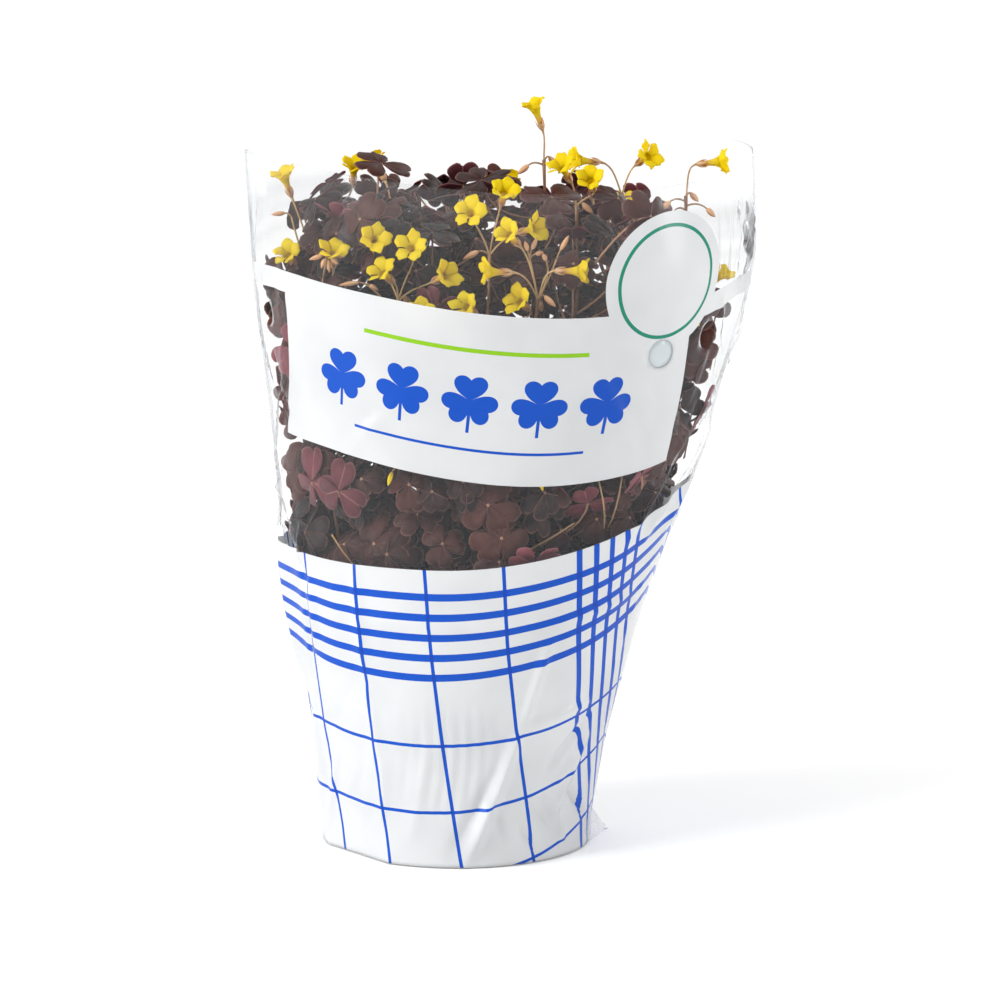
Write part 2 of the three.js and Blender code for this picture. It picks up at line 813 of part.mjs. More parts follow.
function stemGeometry(stem) {
  const trunk = new ColumnCurve(stem.column, rootZ, stem.topZ);
  const pieces = [evenStem(trunk, STEM.radius, 4, 6)];
  stem.leaves.forEach(({ leaf, petiole }) => pieces.push(leafGeometry(leaf, petiole)));
  return joined(pieces);
}

// The assembly

const part = new THREE.Group();

function addPiece(name, geometry, colour, roughness) {
  const material = new THREE.MeshStandardMaterial({ color: colour, roughness, metalness: 0 });
  const mesh = new THREE.Mesh(geometry, material);
  mesh.name = name;
  part.add(mesh);
  return mesh;
}

function numbered(name, index) {
  return `${name}_${String(index + 1).padStart(2, '0')}`;
}

const stalkColumns = SPRAYS.map((spray) => columnThrough(vector(spray.fork)));
const stems = stemColumns(stalkColumns).map((column, i) => ({
  name: numbered('leafy_stem', i),
  column,
  topZ: stemTopZ(column, i),
  leaves: [],
}));

stems.forEach((stem) => {
  const curve = new ColumnCurve(stem.column, SOIL.edgeZ, stem.topZ);
  beadsOfCurve(curve).forEach((point) => addBead(point, STEM.radius + BEAD.margin, stem.name));
});
SPRAYS.forEach((spray, i) => {
  const fork = vector(spray.fork);
  const name = numbered('flower_stalk', i);
  const curves = [new ColumnCurve(stalkColumns[i], SOIL.edgeZ, fork.z), ...budCurves(spray, i)];
  for (const bloom of spray.blooms) {
    const axis = bloomAxis(bloom);
    const foot = vector(bloom.foot);
    curves.push(pedicelCurve(fork, bloom));
    addBead(foot.clone().addScaledVector(axis, 4), 3, name);
    addBead(foot.clone().addScaledVector(axis, CALYX.length + COROLLA.length), COROLLA.mouthRadius, name);
  }
  for (const curve of curves) {
    beadsOfCurve(curve).forEach((point) => addBead(point, STALK.radius + BEAD.margin, name));
  }
  for (const curve of budCurves(spray, i)) {
    const middle = curve.getPoint(1).addScaledVector(curve.getTangent(1), BUD.length / 2);
    addBead(middle, BEAD.bud, name);
  }
});
growCrown(stems);
growLeaves(stems);

const roots = [
  ...stems.map((stem) => ({ ...columnPoint(stem.column, rootZ), radius: STEM.radius })),
  ...stalkColumns.map((column) => ({ ...columnPoint(column, rootZ), radius: STALK.radius })),
];

addPiece('pot', potGeometry(), COLOURS.pot, 0.5);
addPiece('soil', soilGeometry(roots), COLOURS.soil, 0.95);
const sleeve = addPiece('sleeve', sleeveGeometry(), COLOURS.film, 0.2);
sleeve.material.transparent = true;
sleeve.material.opacity = 0.35;
stems.forEach((stem) => addPiece(stem.name, stemGeometry(stem), COLOURS.leaf, 0.6));
SPRAYS.forEach((spray, i) => {
  addPiece(numbered('flower_stalk', i), stalkGeometry(spray, i), COLOURS.stalk, 0.6);
});
SPRAYS.flatMap((spray) => spray.blooms).forEach((bloom, i) => {
  addPiece(numbered('corolla', i), corollaGeometry(bloom), COLOURS.petal, 0.5);
});

export default part;
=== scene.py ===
# Looks for the potted oxalis in its printed film sleeve. Sizes below are millimetres until new_mesh()
# turns them into metres. +Z is up, the printed front faces -Y, and angle 0 on the sleeve is its front.
import functools
import math

import bpy
import numpy as np
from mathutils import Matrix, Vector


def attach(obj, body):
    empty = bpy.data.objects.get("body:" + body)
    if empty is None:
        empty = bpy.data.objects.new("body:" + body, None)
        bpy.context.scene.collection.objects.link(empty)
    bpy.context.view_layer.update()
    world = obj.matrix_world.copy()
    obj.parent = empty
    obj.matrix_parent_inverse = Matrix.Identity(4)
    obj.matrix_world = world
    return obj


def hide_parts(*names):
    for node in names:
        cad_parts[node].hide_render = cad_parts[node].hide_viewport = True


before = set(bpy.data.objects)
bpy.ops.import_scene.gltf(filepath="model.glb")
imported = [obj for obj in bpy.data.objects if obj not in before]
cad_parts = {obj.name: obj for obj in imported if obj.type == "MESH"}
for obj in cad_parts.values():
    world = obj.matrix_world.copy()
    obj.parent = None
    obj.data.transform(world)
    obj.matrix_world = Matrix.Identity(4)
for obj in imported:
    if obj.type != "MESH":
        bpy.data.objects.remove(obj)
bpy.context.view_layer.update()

MM = 0.001

# Driving dimensions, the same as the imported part's
POT = {
    "base_radius": 44,
    "shoulder_radius": 55.6,
    "shoulder_z": 85,
    "rim_radius": 58.8,
    "height": 92,
    "wall": 1.2,
    "floor": 1.6,
    "drain_radius": 4,
    "drain_ring": 27,
    "drain_count": 6,
}
SOIL = {"edge_z": 83, "crown_z": 84.5, "root_depth": 12}
# Height, centre in X, and the half-width and half-depth of the sleeve's oval section
STATIONS = np.array(
    [
        (0.5, 0, 49, 48),
        (45, 1.3, 54.6, 54),
        (85, 3.8, 63.8, 61.6),
        (130, 9.2, 74, 65.8),
        (175, 14, 83, 70.4),
        (215, 16.8, 91, 76),
        (256, 15.8, 91, 81),
    ]
)
SLEEVE_WALL = 0.8
RIM_FRONT_Z = 246.5
COLUMN = {"soil_radius": 52, "start_z": 96, "end_z": 150, "film_margin": 5}
LEAF = {
    "count": 72,
    "thickness": 0.7,
    "petiole_radius": 0.6,
    "seed": 20517,
    "tries": 900,
    "lowest_z": 98,
    "highest_z": 243,
    "smallest": 0.88,
    "largest": 1.12,
}
STEM = {
    "count": 14,
    "radius": 1.2,
    "spread": 0.86,
    "shy_of_stalks": 0.13,
    "tallest_z": 230,
    "edge_drop": 20,
    "step_down": 8,
}
STALK_RADIUS = 0.8
COROLLA = {"length": 8, "mouth_radius": 6.2}
CALYX_LENGTH = 3
CLEARANCE = 0.3
ROOT_Z = SOIL["edge_z"] - SOIL["root_depth"] + CLEARANCE
BUD_LENGTH = 6
BEAD = {
    "spacing": 3,
    "margin": 0.8,
    "leaflet": 5.4,
    "leaflet_reach": 6.2,
    "leaflet_sag": 0.9,
    "bud": 3.4,
}

# One entry for each flower stalk: where it forks, each bloom's foot and look, and its number of buds
SPRAYS = [
    ((31.6, 5, 250), [((31, 5, 261), (-0.35, -0.1, 1))], 2),
    ((59.5, -5, 239), [((51.5, -8, 250.5), (-1, -0.35, 0.12)), ((64.5, -7, 249.5), (0.62, -0.75, 0.55))], 2),
    ((43, -16, 236), [((41, -19, 244.5), (-0.45, -0.5, 0.8)), ((49, -25, 242), (-0.2, -0.8, 0.65))], 1),
    ((82.5, -5, 238), [((86.5, -5, 249.5), (1, -0.1, 0.12))], 4),
    ((-53, 11, 214), [((-60, 11, 236), (-0.32, -0.2, 0.9)), ((-38, 14, 240), (0.1, -0.5, 0.86))], 1),
    ((-50, -27, 196), [((-57.5, -14, 214), (-0.35, -0.7, 0.6)), ((-43, -40, 216.5), (0, -0.6, 0.8))], 1),
    ((-20, -46, 206), [
        ((-29, -45, 224.5), (0.1, -0.85, 0.52)), ((-14.5, -49, 222), (-0.1, -0.85, 0.5)),
        ((-21.5, -50.5, 212.5), (-0.5, -0.55, 0.55)), ((-8, -52, 213), (0.6, -0.7, 0.4))], 2),
    ((12, -44, 222), [
        ((6.5, -50, 234.5), (-0.15, -0.85, 0.5)), ((16, -44, 239), (0.15, -0.7, 0.7)),
        ((22, -46, 229.5), (0.75, -0.6, 0.3))], 1),
    ((29, -56, 208), [
        ((22.5, -57, 226.5), (-0.5, -0.62, 0.6)), ((20, -61, 217.5), (-1, -0.15, 0.05)),
        ((35, -60, 218), (1, -0.1, 0))], 2),
    ((9, -51, 190), [
        ((26, -57, 204), (-0.45, -0.62, 0.45)), ((7.5, -58, 202.5), (-0.5, -0.7, 0.45)),
        ((-11, -56.5, 199), (-0.15, -0.75, 0.55))], 1),
    ((82, -18, 188), [((90, -14, 205), (0.55, -0.35, 0.75)), ((78, -27, 191), (0.42, -0.5, 0.65))], 1),
    ((57, 32, 214), [((61, 30, 225), (0.2, -0.4, 0.9)), ((50, 44, 231), (-0.1, 0.55, 0.8))], 2),
    ((-24, 44, 222), [((-27, 47, 238), (-0.4, 0.5, 0.8))], 2),
    ((14, 52, 216), [((16, 55, 231), (0.3, 0.75, 0.6))], 1),
]
CROWN_LEAVES = [
    ((-27, 0, 249.5), (0.25, -0.25, 1)),
    ((9, -20, 245.5), (-0.2, -0.35, 1)),
    ((34, -34, 241), (0.15, -0.5, 1)),
    ((-46, 4, 236), (-0.2, -0.5, 1)),
]

# Where each bloom's mouth is
BLOOMS = [
    np.array(foot) + 9 * np.array(look) / np.linalg.norm(look)
    for _, blooms, _ in SPRAYS
    for foot, look in blooms
]

# The camera that took the photograph, in metres and degrees
CAMERA_PLACE = (0.0157, -1.62, 0.419)
CAMERA_TILT = 10.25
CAMERA_LENS = 162.4


# Small mathematics

UP = np.array((0.0, 0.0, 1.0))


def vector(values):
    return np.array(values, float)


def unit(v):
    return v / np.linalg.norm(v)


def mix(a, b, t):
    return a + (b - a) * t


def smooth_step(low, high, value):
    t = np.clip((value - low) / (high - low), 0, 1)
    return t * t * (3 - 2 * t)


def random_source(seed):
    """A repeatable source of random numbers from 0 to 1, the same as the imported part's."""
    state = seed

    def draw():
        nonlocal state
        state = (state * 16807) % 2147483647
        return state / 2147483647

    return draw


def bezier(points, t):
    """Points of a quadratic or cubic Bezier curve at the fractions t."""
    t = np.asarray(t, float)[:, None]
    degree = len(points) - 1
    total = 0
    for i, p in enumerate(points):
        total = total + math.comb(degree, i) * t**i * (1 - t) ** (degree - i) * vector(p)
    return total


def turn_up_to(axis):
    """The rotation that takes +Z to an axis by the shortest way."""
    v = np.cross(UP, axis)
    c = axis[2]
    k = np.array([[0, -v[2], v[1]], [v[2], 0, -v[0]], [-v[1], v[0], 0]])
    return np.eye(3) + k + k @ k / (1 + c)


def round_angles(sides):
    return np.arange(sides) / sides * math.tau


def circle(radius, height, angles):
    """Points round +Z. The radius and the height may vary with the angle."""
    return np.stack([radius * np.cos(angles), radius * np.sin(angles), height + 0 * angles], -1)


# The sleeve's section, and the columns that stems and stalks stand in


def section(z):
    """Centre in X, half-width and half-depth at a height, straight between stations and past them."""
    i = int(np.clip(np.searchsorted(STATIONS[:, 0], z) - 1, 0, len(STATIONS) - 2))
    low, high = STATIONS[i], STATIONS[i + 1]
    return mix(low[1:], high[1:], (z - low[0]) / (high[0] - low[0]))


def column_oval(z):
    x, half_width, half_depth = section(z)
    t = smooth_step(COLUMN["start_z"], COLUMN["end_z"], z)
    wide = mix(COLUMN["soil_radius"], half_width - COLUMN["film_margin"], t)
    deep = mix(COLUMN["soil_radius"], half_depth - COLUMN["film_margin"], t)
    return x * t, wide, deep


def column_point(column, z):
    x, wide, deep = column_oval(z)
    return np.array((x + wide * column[0], deep * column[1], z))


def column_through(point):
    x, wide, deep = column_oval(point[2])
    return (point[0] - x) / wide, point[1] / deep


def column_path(column, low_z, high_z, steps):
    return np.array([column_point(column, mix(low_z, high_z, i / steps)) for i in range(steps + 1)])


def path_length(path):
    return np.linalg.norm(np.diff(path, axis=0), axis=1).sum()


def bead_count(fine_path):
    return max(math.ceil(path_length(fine_path) / BEAD["spacing"]), 2)


def beads_of_bezier(points):
    count = bead_count(bezier(points, np.linspace(0, 1, 201)))
    return bezier(points, np.arange(count + 1) / count)


def beads_of_column(column, low_z, high_z):
    count = bead_count(column_path(column, low_z, high_z, 200))
    return column_path(column, low_z, high_z, count)


# Beads are balls that keep the pieces apart

LEAFLET_OWNER = -1
STALK_OWNER = 100


class Beads:
    def __init__(self, room):
        self.places = np.zeros((room, 3))
        self.radii = np.zeros(room)
        self.owners = np.zeros(room, int)
        self.count = 0

    def add(self, points, radius, owner):
        for point in np.atleast_2d(points):
            self.places[self.count] = point
            self.radii[self.count] = radius
            self.owners[self.count] = owner
            self.count += 1

    def clear(self, points, radius, owner=None, ease=None):
        """Whether balls at these points touch no bead. ease shrinks each bead by its owner's kind."""
        places = self.places[: self.count]
        radii = self.radii[: self.count]
        if ease is not None:
            radii = radii * ease(self.owners[: self.count])
        gaps = ((places[None] - np.atleast_2d(points)[:, None]) ** 2).sum(2)
        hits = gaps < (radii + radius) ** 2
        if owner is not None:
            hits &= self.owners[: self.count] != owner
        return not hits.any()


beads = Beads(30000)


# Where the plant's pieces are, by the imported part's own rules


def bloom_axis(bloom):
    return unit(vector(bloom[1]))


def pedicel_points(fork, bloom):
    foot = vector(bloom[0])
    start = fork - UP * STALK_RADIUS
    reach = np.linalg.norm(foot - fork)
    rise = start + (foot - start) * 0.25 + UP * reach * 0.18
    arrive = foot - bloom_axis(bloom) * reach * 0.35
    return [start, rise, arrive, foot]


def bud_points(spray, index):
    """The short curve of each bud's stem, round the fork by turns of the golden angle."""
    fork = vector(spray[0])
    curves = []
    for i in range(spray[2]):
        angle = 1.1 + index * 2.1 + i * 2.4
        length = 4 + 2 * i
        out = np.array((math.cos(angle), math.sin(angle) * 0.6, 0))
        start = fork + UP * (-0.4 - 1.6 * i)
        middle = start + out * length * 0.6 + UP * 2
        end = start + out * length + UP * (1.2 - i)
        curves.append([start, middle, end])
    return curves


def stem_columns(stalk_columns):
    columns = []
    for i in range(STEM["count"]):
        ring = math.sqrt((i + 0.5) / STEM["count"]) * STEM["spread"]
        angle = i * math.pi * (3 - math.sqrt(5))
        u, v = ring * math.cos(angle), ring * math.sin(angle)
        for stalk_u, stalk_v in stalk_columns:
            du, dv = u - stalk_u, v - stalk_v
            distance = math.sqrt(du * du + dv * dv)
            if distance < STEM["shy_of_stalks"]:
                u = stalk_u + du / distance * STEM["shy_of_stalks"]
                v = stalk_v + dv / distance * STEM["shy_of_stalks"]
        columns.append((u, v))
    return columns


def stem_top_z(column, index):
    drop = STEM["edge_drop"] * (column[0] ** 2 + column[1] ** 2)
    return STEM["tallest_z"] - drop - STEM["step_down"] * (index % 3)


class Leaf:
    """A leaf's frame: its hub, its normal, and the heading of its first leaflet."""

    def __init__(self, hub, normal, heading, size):
        self.hub = hub
        self.up = unit(normal)
        self.east = unit(np.array((1.0, 0, 0)) - self.up * self.up[0])
        self.north = np.cross(self.up, self.east)
        self.heading = heading
        self.size = size
        self.hang = 0
        self.petiole = None

    def direction(self, angle):
        turned = self.heading + angle
        return self.east * math.cos(turned) + self.north * math.sin(turned)

    def leaflet_frame(self, k):
        """Along a leaflet's midrib, across it, and out of its upper face: it hangs from the hub."""
        out = self.direction(k * math.tau / 3)
        across = np.cross(self.up, out)
        along = out * math.cos(self.hang) - self.up * math.sin(self.hang)
        return along, across, np.cross(along, across)

    def leaflet_centres(self):
        reach = self.size * BEAD["leaflet_reach"]
        sag = self.up * BEAD["leaflet_sag"]
        return np.array([self.hub + self.leaflet_frame(k)[0] * reach - sag for k in range(3)])

    def grow_petiole(self, start):
        end = self.hub - self.up * LEAF["thickness"] * 0.5
        reach = np.linalg.norm(end - start)
        self.petiole = [start, end - self.up * reach * 0.5, end]

    def tuck_petiole(self, start):
        """The same, but a leaf that faces in has its petiole come from below, not from beyond the film."""
        x, wide, deep = section(self.hub[2])
        outward = unit(np.array(((self.hub[0] - x) / wide**2, self.hub[1] / deep**2, 0)))
        arrive = -self.up
        arrive = arrive - outward * max(arrive @ outward, 0)
        end = self.hub - self.up * LEAF["thickness"] * 0.5
        reach = np.linalg.norm(end - start)
        self.petiole = [start, end + arrive * reach * 0.45, end]


def inside_sleeve(point, margin):
    if point[2] > RIM_FRONT_Z - 4:
        return True
    x, half_width, half_depth = section(point[2])
    across = (point[0] - x) / (half_width - margin)
    deep = point[1] / (half_depth - margin)
    return across * across + deep * deep < 1


def leaf_fits(leaf, owner):
    centres = leaf.leaflet_centres()
    margin = SLEEVE_WALL + BEAD["leaflet_reach"] * leaf.size
    if not all(inside_sleeve(centre, margin) for centre in centres):
        return False
    if not beads.clear(centres, BEAD["leaflet"] * leaf.size):
        return False
    points = beads_of_bezier(leaf.petiole)[1:]
    return beads.clear(points, LEAF["petiole_radius"] + BEAD["margin"], owner)


def place_leaf(stem, leaf):
    beads.add(leaf.leaflet_centres(), BEAD["leaflet"] * leaf.size, LEAFLET_OWNER)
    beads.add(beads_of_bezier(leaf.petiole), LEAF["petiole_radius"] + BEAD["margin"], stem["owner"])
    stem["leaves"].append(leaf)


def nearest_stem(stems, point):
    def distance(stem):
        z = min(point[2] - 12, stem["top_z"])
        return np.linalg.norm(column_point(stem["column"], z) - point)

    return min(stems, key=distance)


def grow_crown(stems):
    for hub, normal in CROWN_LEAVES:
        hub = vector(hub)
        stem = nearest_stem(stems, hub)
        leaf = Leaf(hub, vector(normal), hub[0] * 0.7, 1.05)
        leaf.grow_petiole(column_point(stem["column"], min(hub[2] - 12, stem["top_z"])))
        place_leaf(stem, leaf)


def leaf_normal(column, random):
    lean = 0.15 + 0.9 * (column[0] ** 2 + column[1] ** 2)
    x = column[0] * lean + 0.5 * (random() - 0.5)
    y = column[1] * lean + 0.5 * (random() - 0.5)
    return np.array((x, y, 0.75))


def grow_leaves(stems):
    random = random_source(LEAF["seed"])
    for n in range(LEAF["count"]):
        stem = stems[n % len(stems)]
        for _ in range(LEAF["tries"]):
            start_z = mix(LEAF["lowest_z"] - 8, stem["top_z"], random())
            start = column_point(stem["column"], start_z)
            angle = random() * math.tau
            reach = 4 + 17 * random()
            rise = 7 + 16 * random()
            heading = random() * math.tau
            size = mix(LEAF["smallest"], LEAF["largest"], random())
            hub = start + np.array((math.cos(angle) * reach, math.sin(angle) * reach, rise))
            leaf = Leaf(hub, leaf_normal(column_through(hub), random), heading, size)
            leaf.grow_petiole(start)
            if hub[2] < LEAF["lowest_z"] or hub[2] > LEAF["highest_z"]:
                continue
            if not leaf_fits(leaf, stem["owner"]):
                continue
            place_leaf(stem, leaf)
            break


# Twigs on the stalks' columns, as the photograph shows them: the stalk's place in SPRAYS, where the
# twig leaves its column, a place that it bends towards, its tip, and its buds. Each bud has the
# direction it hangs in, its length, and 1 for a green or tan bud or 2 for a yellow one.
TWIGS = [
    (5, 192, (-47, -37, 214), (-45, -44, 221), [
        ((-1.0, -0.1, -0.3), 4.6, 1), ((-0.4, -0.3, -0.9), 3.6, 1), ((0.1, -0.2, -1), 4.4, 1),
        ((0.7, -0.4, -0.6), 3.4, 1), ((1.0, 0.2, -0.2), 4.2, 1)]),
    (6, 196, (-25, -47, 208), (-31.5, -50, 212), [((-1, 0.1, -0.15), 7.0, 1), ((0.8, 0, -0.5), 3.5, 1)]),
    (8, 207, (27.5, -57.5, 216), (26, -58, 222), [
        ((-0.3, -0.2, 1), 3.6, 1), ((0.4, -0.1, 0.9), 4.6, 1), ((0.9, 0.1, 0.2), 3.0, 1)]),
    (8, 207.5, (32.5, -58, 214), (35.5, -58, 222), [((0.5, -0.1, 0.9), 6.0, 1)]),
    (8, 207, (32, -58.5, 213), (32.5, -58.5, 218.5), [((-0.4, -0.1, 0.9), 2.6, 1)]),
    (4, 205, (-57, 9, 216), (-60, 9, 229), [((-1, -0.1, -0.1), 5.0, 1)]),
    (9, 150, (-10, -52, 150), (-21, -55, 147.5), [((-0.3, -0.2, -0.9), 5.0, 2)]),
    (8, 150, (26, -52, 148), (29, -58, 146), [((0.2, -0.3, -0.9), 4.5, 2)]),
    (10, 108, (57, -46, 118), (50.5, -49, 142), []),
    (10, 108, (56, -45, 119), (59, -45, 143), []),
    (9, 104, (20, -52, 112), (42, -51, 127), []),
    (6, 100, (-34, -45, 104), (-44, -46, 122), []),
]

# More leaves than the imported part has, mostly out by the film where light reaches, on the same stems

FILL = {
    "count": 700,
    "low_count": 90,
    "top_count": 70,
    "seed": 7331,
    "tries": 120,
    "smallest": 0.78,
    "largest": 1.1,
    "lowest_z": 94,
    "rise_to": 240,
    "low_z": (90, 122),
    "top_z": (218, 243),
    "loose_top": 24,
    "lean": (0.2, 1.9),
    "hang": (-0.1, 0.85),
    "turned_share": 0.13,
    "turned_lean": (-1.5, -0.6),
    "turned_hang": (-0.5, 0.1),
    "side_share": 0.3,
    "side_degrees": (52, 100),
    "petiole_rise": (8, 24),
    "bead": 2.6,
    "film_gap": 1.7,
    "bloom_view": 11.5,
    "bud_view": 8,
    "behind": 3,
    "back_y": 20,
}
# From a leaf's hub to a leaflet's tip
LEAFLET_LENGTH = 10.8
# Places on a leaflet, along it and across, that have to stay inside the film
LEAFLET_REACH = ((3, 5.4), (3, -5.4), (7, 5.9), (7, -5.9), (10.2, 3), (10.2, -3))
# Leaves that the photograph shows one by one against the film: the angle and height on the sleeve of
# a leaflet's middle, how far inside it lies, its heading in degrees (0 along +X, 90 up), the side
# that faces out (1 upper, -1 under), and its size
SHOWN_LEAVES = [
    (-73, 199, 3.5, 250, 1, 1.1),
    (62, 191, 3.5, 260, 1, 1.15),
    (-68, 206, 5.0, 100, 1, 1.1),
    (-66, 182, 4.0, 100, -1, 1.0),
    (-74, 172, 3.5, 60, 1, 1.1),
    (-58, 146, 4.5, 95, -1, 1.15),
    (-44, 144, 4.0, 80, -1, 1.05),
    (-36, 113, 4.0, 240, 1, 1.25),
    (-22, 119, 4.0, 20, 1, 1.2),
    (-4, 133, 4.5, 200, 1, 1.2),
    (12, 120, 4.0, 330, 1, 1.15),
    (-17, 209, 4.0, 160, 1, 1.15),
    (24, 238, 7.0, 80, 1, 1.0),
    (17, 240, 9.0, 190, 1, 1.0),
    (36, 231, 7.0, 250, 1, 1.0),
    (-38, 240, 9.0, 60, 1, 1.0),
    (-44, 231, 8.0, 20, 1, 1.05),
    (-38, 224, 9.0, 200, 1, 1.0),
    (-30, 238, 8.0, 120, 1, 1.0),
    (-27, 230, 7.0, 260, 1, 1.0),
    (-7, 231, 8.0, 30, 1, 1.05),
    (4, 226, 9.0, 300, 1, 1.05),
    (74, 176, 4.0, 270, 1, 1.1),
    (78, 160, 4.0, 80, 1, 1.1),
    (66, 140, 4.0, 300, 1, 1.1),
    (-78, 128, 4.0, 70, 1, 1.1),
    (-70, 112, 4.0, 250, 1, 1.1),
]
# Leaves at the bush's two sides that face the front, one leaflet out to the film: the side, height,
# slope of that leaflet, its tip's y, size, and the face that shows (1 upper, -1 under)
EDGE_LEAVES = [
    (-1, 214, 0.5, -14, 0.9, 1),
    (-1, 209, -0.1, -8, 1.0, 1),
    (-1, 204, -0.5, -20, 1.0, 1),
    (-1, 206, 0.2, 6, 1.05, 1),
    (-1, 200, 0.1, 0, 1.1, 1),
    (-1, 197, 0.5, -14, 1.05, 1),
    (-1, 192, -0.2, -6, 1.05, 1),
    (-1, 178, -0.7, -16, 0.95, -1),
    (-1, 170, 0.5, -4, 0.9, 1),
    (-1, 154, -0.4, -8, 1.0, 1),
    (-1, 147, 0.6, -16, 1.0, 1),
    (-1, 140, -0.1, -4, 1.1, 1),
    (-1, 131, -0.6, -12, 1.1, 1),
    (-1, 122, 0.2, -6, 1.15, 1),
    (-1, 111, -0.4, -10, 1.1, 1),
    (1, 203, 0.5, -18, 1.0, 1),
    (1, 196, -0.6, -26, 1.1, 1),
    (1, 188, 0.2, -22, 1.05, 1),
    (1, 177, -0.3, -22, 1.0, 1),
    (1, 166, 0.4, -10, 1.0, 1),
    (1, 147, -0.5, -24, 1.0, 1),
    (1, 128, 0.6, -12, 1.0, 1),
    (1, 114, -0.4, -20, 1.0, 1),
]
# What no leaf may stand before, and the room round it: blooms, hanging buds and forks at the front
IN_VIEW = [(bloom, FILL["bloom_view"]) for bloom in BLOOMS if bloom[1] < FILL["back_y"]]
IN_VIEW += [(np.array(twig[3]), FILL["bud_view"]) for twig in TWIGS if twig[4]]
IN_VIEW += [(np.array(spray[0]), FILL["bud_view"]) for spray in SPRAYS[5:10]]


def fill_ease(owners):
    """Leaflets may come near one another in layers, and blooms are left in the open."""
    return np.where(owners == LEAFLET_OWNER, 0.3, np.where(owners >= STALK_OWNER, 0.9, 0.3))


def bush_height(x):
    """How high the added leaves reach: the bush falls away at both ends of the photograph's view."""
    return 241 - 37 * smooth_step(62, 84, x) - 34 * smooth_step(58, 68, -x)


def hides_bloom(leaf):
    """Whether a leaflet would stand before a bloom or its buds, as seen from the printed front."""
    for centre in leaf.leaflet_centres():
        for place, room in IN_VIEW:
            across, nearer, up = centre - place
            if nearer < FILL["behind"] and math.hypot(across, up) < room:
                return True
    return False


def fill_angle(random):
    """Round the bush from its front, a share of them at its two sides where the film is bare."""
    if random() < FILL["side_share"]:
        side = 1 if random() < 0.5 else -1
        return side * math.radians(mix(*FILL["side_degrees"], random()))
    return random() * math.tau


def fill_leaf(random, n):
    """A leaf in the bush, more likely near the film. Most face out with hanging leaflets, some face in."""
    size = mix(FILL["smallest"], FILL["largest"], random())
    angle = fill_angle(random)
    depth = 1 - 0.55 * random() ** 2
    z = mix(FILL["lowest_z"], FILL["rise_to"], random())
    if n < FILL["low_count"]:
        depth = math.sqrt(random())
        z = mix(*FILL["low_z"], random())
    elif n < FILL["low_count"] + FILL["top_count"]:
        depth = 0.9 * math.sqrt(random())
        z = mix(*FILL["top_z"], random())
    x, wide, deep = section(z)
    margin = FILL["film_gap"] + 1.5
    side, front = math.sin(angle), -math.cos(angle)
    hub = np.array((x + depth * (wide - margin) * side, depth * (deep - margin) * front, z))
    lean = depth * mix(*FILL["lean"], random())
    hang = mix(*FILL["hang"], random())
    if random() < FILL["turned_share"]:
        lean = depth * mix(*FILL["turned_lean"], random())
        hang = mix(*FILL["turned_hang"], random())
    stray_x, stray_y = random() - 0.5, random() - 0.5
    normal = np.array((side * lean + 0.7 * stray_x, front * lean + 0.7 * stray_y, 0.8))
    leaf = Leaf(hub, normal, random() * math.tau, size)
    leaf.hang = hang
    return leaf


def leaf_inside(leaf):
    """Whether every leaflet stays inside the film, edges and tips too."""
    for k in range(3):
        along, across, _ = leaf.leaflet_frame(k)
        for ahead, aside in LEAFLET_REACH:
            point = leaf.hub + leaf.size * (along * ahead + across * aside)
            if not inside_sleeve(point, FILL["film_gap"]):
                return False
    return True


def take_leaf(stems, leaf, rise):
    """Puts a leaf on the nearest stem, its petiole leaving the stem lower by rise."""
    stem = nearest_stem(stems, leaf.hub)
    start_z = max(min(leaf.hub[2] - rise, stem["top_z"]), SOIL["crown_z"] + 1)
    leaf.tuck_petiole(column_point(stem["column"], start_z))
    place_leaf(stem, leaf)


def shown_leaf(degrees, z, inset, heading, face, size):
    """A leaf with one leaflet flat behind the film; the other two bend in, away from the film."""
    x, wide, deep = section(z)
    angle, turn = math.radians(degrees), math.radians(heading)
    outward = unit(np.array((math.sin(angle) / wide, -math.cos(angle) / deep, 0)))
    sideways = np.cross(UP, outward)
    wall = np.array((x + wide * math.sin(angle), -deep * math.cos(angle), z))
    centre = wall - outward * inset
    along = unit(sideways * math.cos(turn) + UP * math.sin(turn) - outward * 0.12)
    leaf = Leaf(centre, outward * face + UP * 0.15, 0, size)
    leaf.hub = centre - along * BEAD["leaflet_reach"] * size
    leaf.heading = math.atan2(along @ leaf.north, along @ leaf.east)
    leaf.hang = 0.4 * face
    return leaf


def edge_leaf(side, z, slope, y, size, face, deeper):
    """A leaf that faces the front at one end of the sleeve, one leaflet pointing out to the film."""
    x, wide, deep = section(z)
    edge = (wide - FILL["film_gap"]) * math.sqrt(1 - (y / deep) ** 2)
    along = unit(np.array((side, 0.05, slope)))
    tip = np.array((x + side * (edge - deeper), y, z))
    leaf = Leaf(tip, np.array((0.2 * side, -1, 0.2)) * face, 0, size)
    leaf.hub = tip - along * LEAFLET_LENGTH * size
    leaf.heading = math.atan2(along @ leaf.north, along @ leaf.east)
    leaf.hang = 0.15 * face
    return leaf


def place_first_that_fits(stems, leaves, rise):
    for leaf in leaves:
        if leaf_inside(leaf) and not hides_bloom(leaf):
            take_leaf(stems, leaf, rise)
            return


def show_leaves(stems):
    """The leaves of both tables, each as near the film as it fits."""
    for degrees, z, inset, heading, face, size in SHOWN_LEAVES:
        deeper = [inset + 1.5 * step for step in range(8)]
        leaves = (shown_leaf(degrees, z, depth, heading, face, size) for depth in deeper)
        place_first_that_fits(stems, leaves, 20)
    for row in EDGE_LEAVES:
        place_first_that_fits(stems, (edge_leaf(*row, 0.5 * step) for step in range(20)), 18)


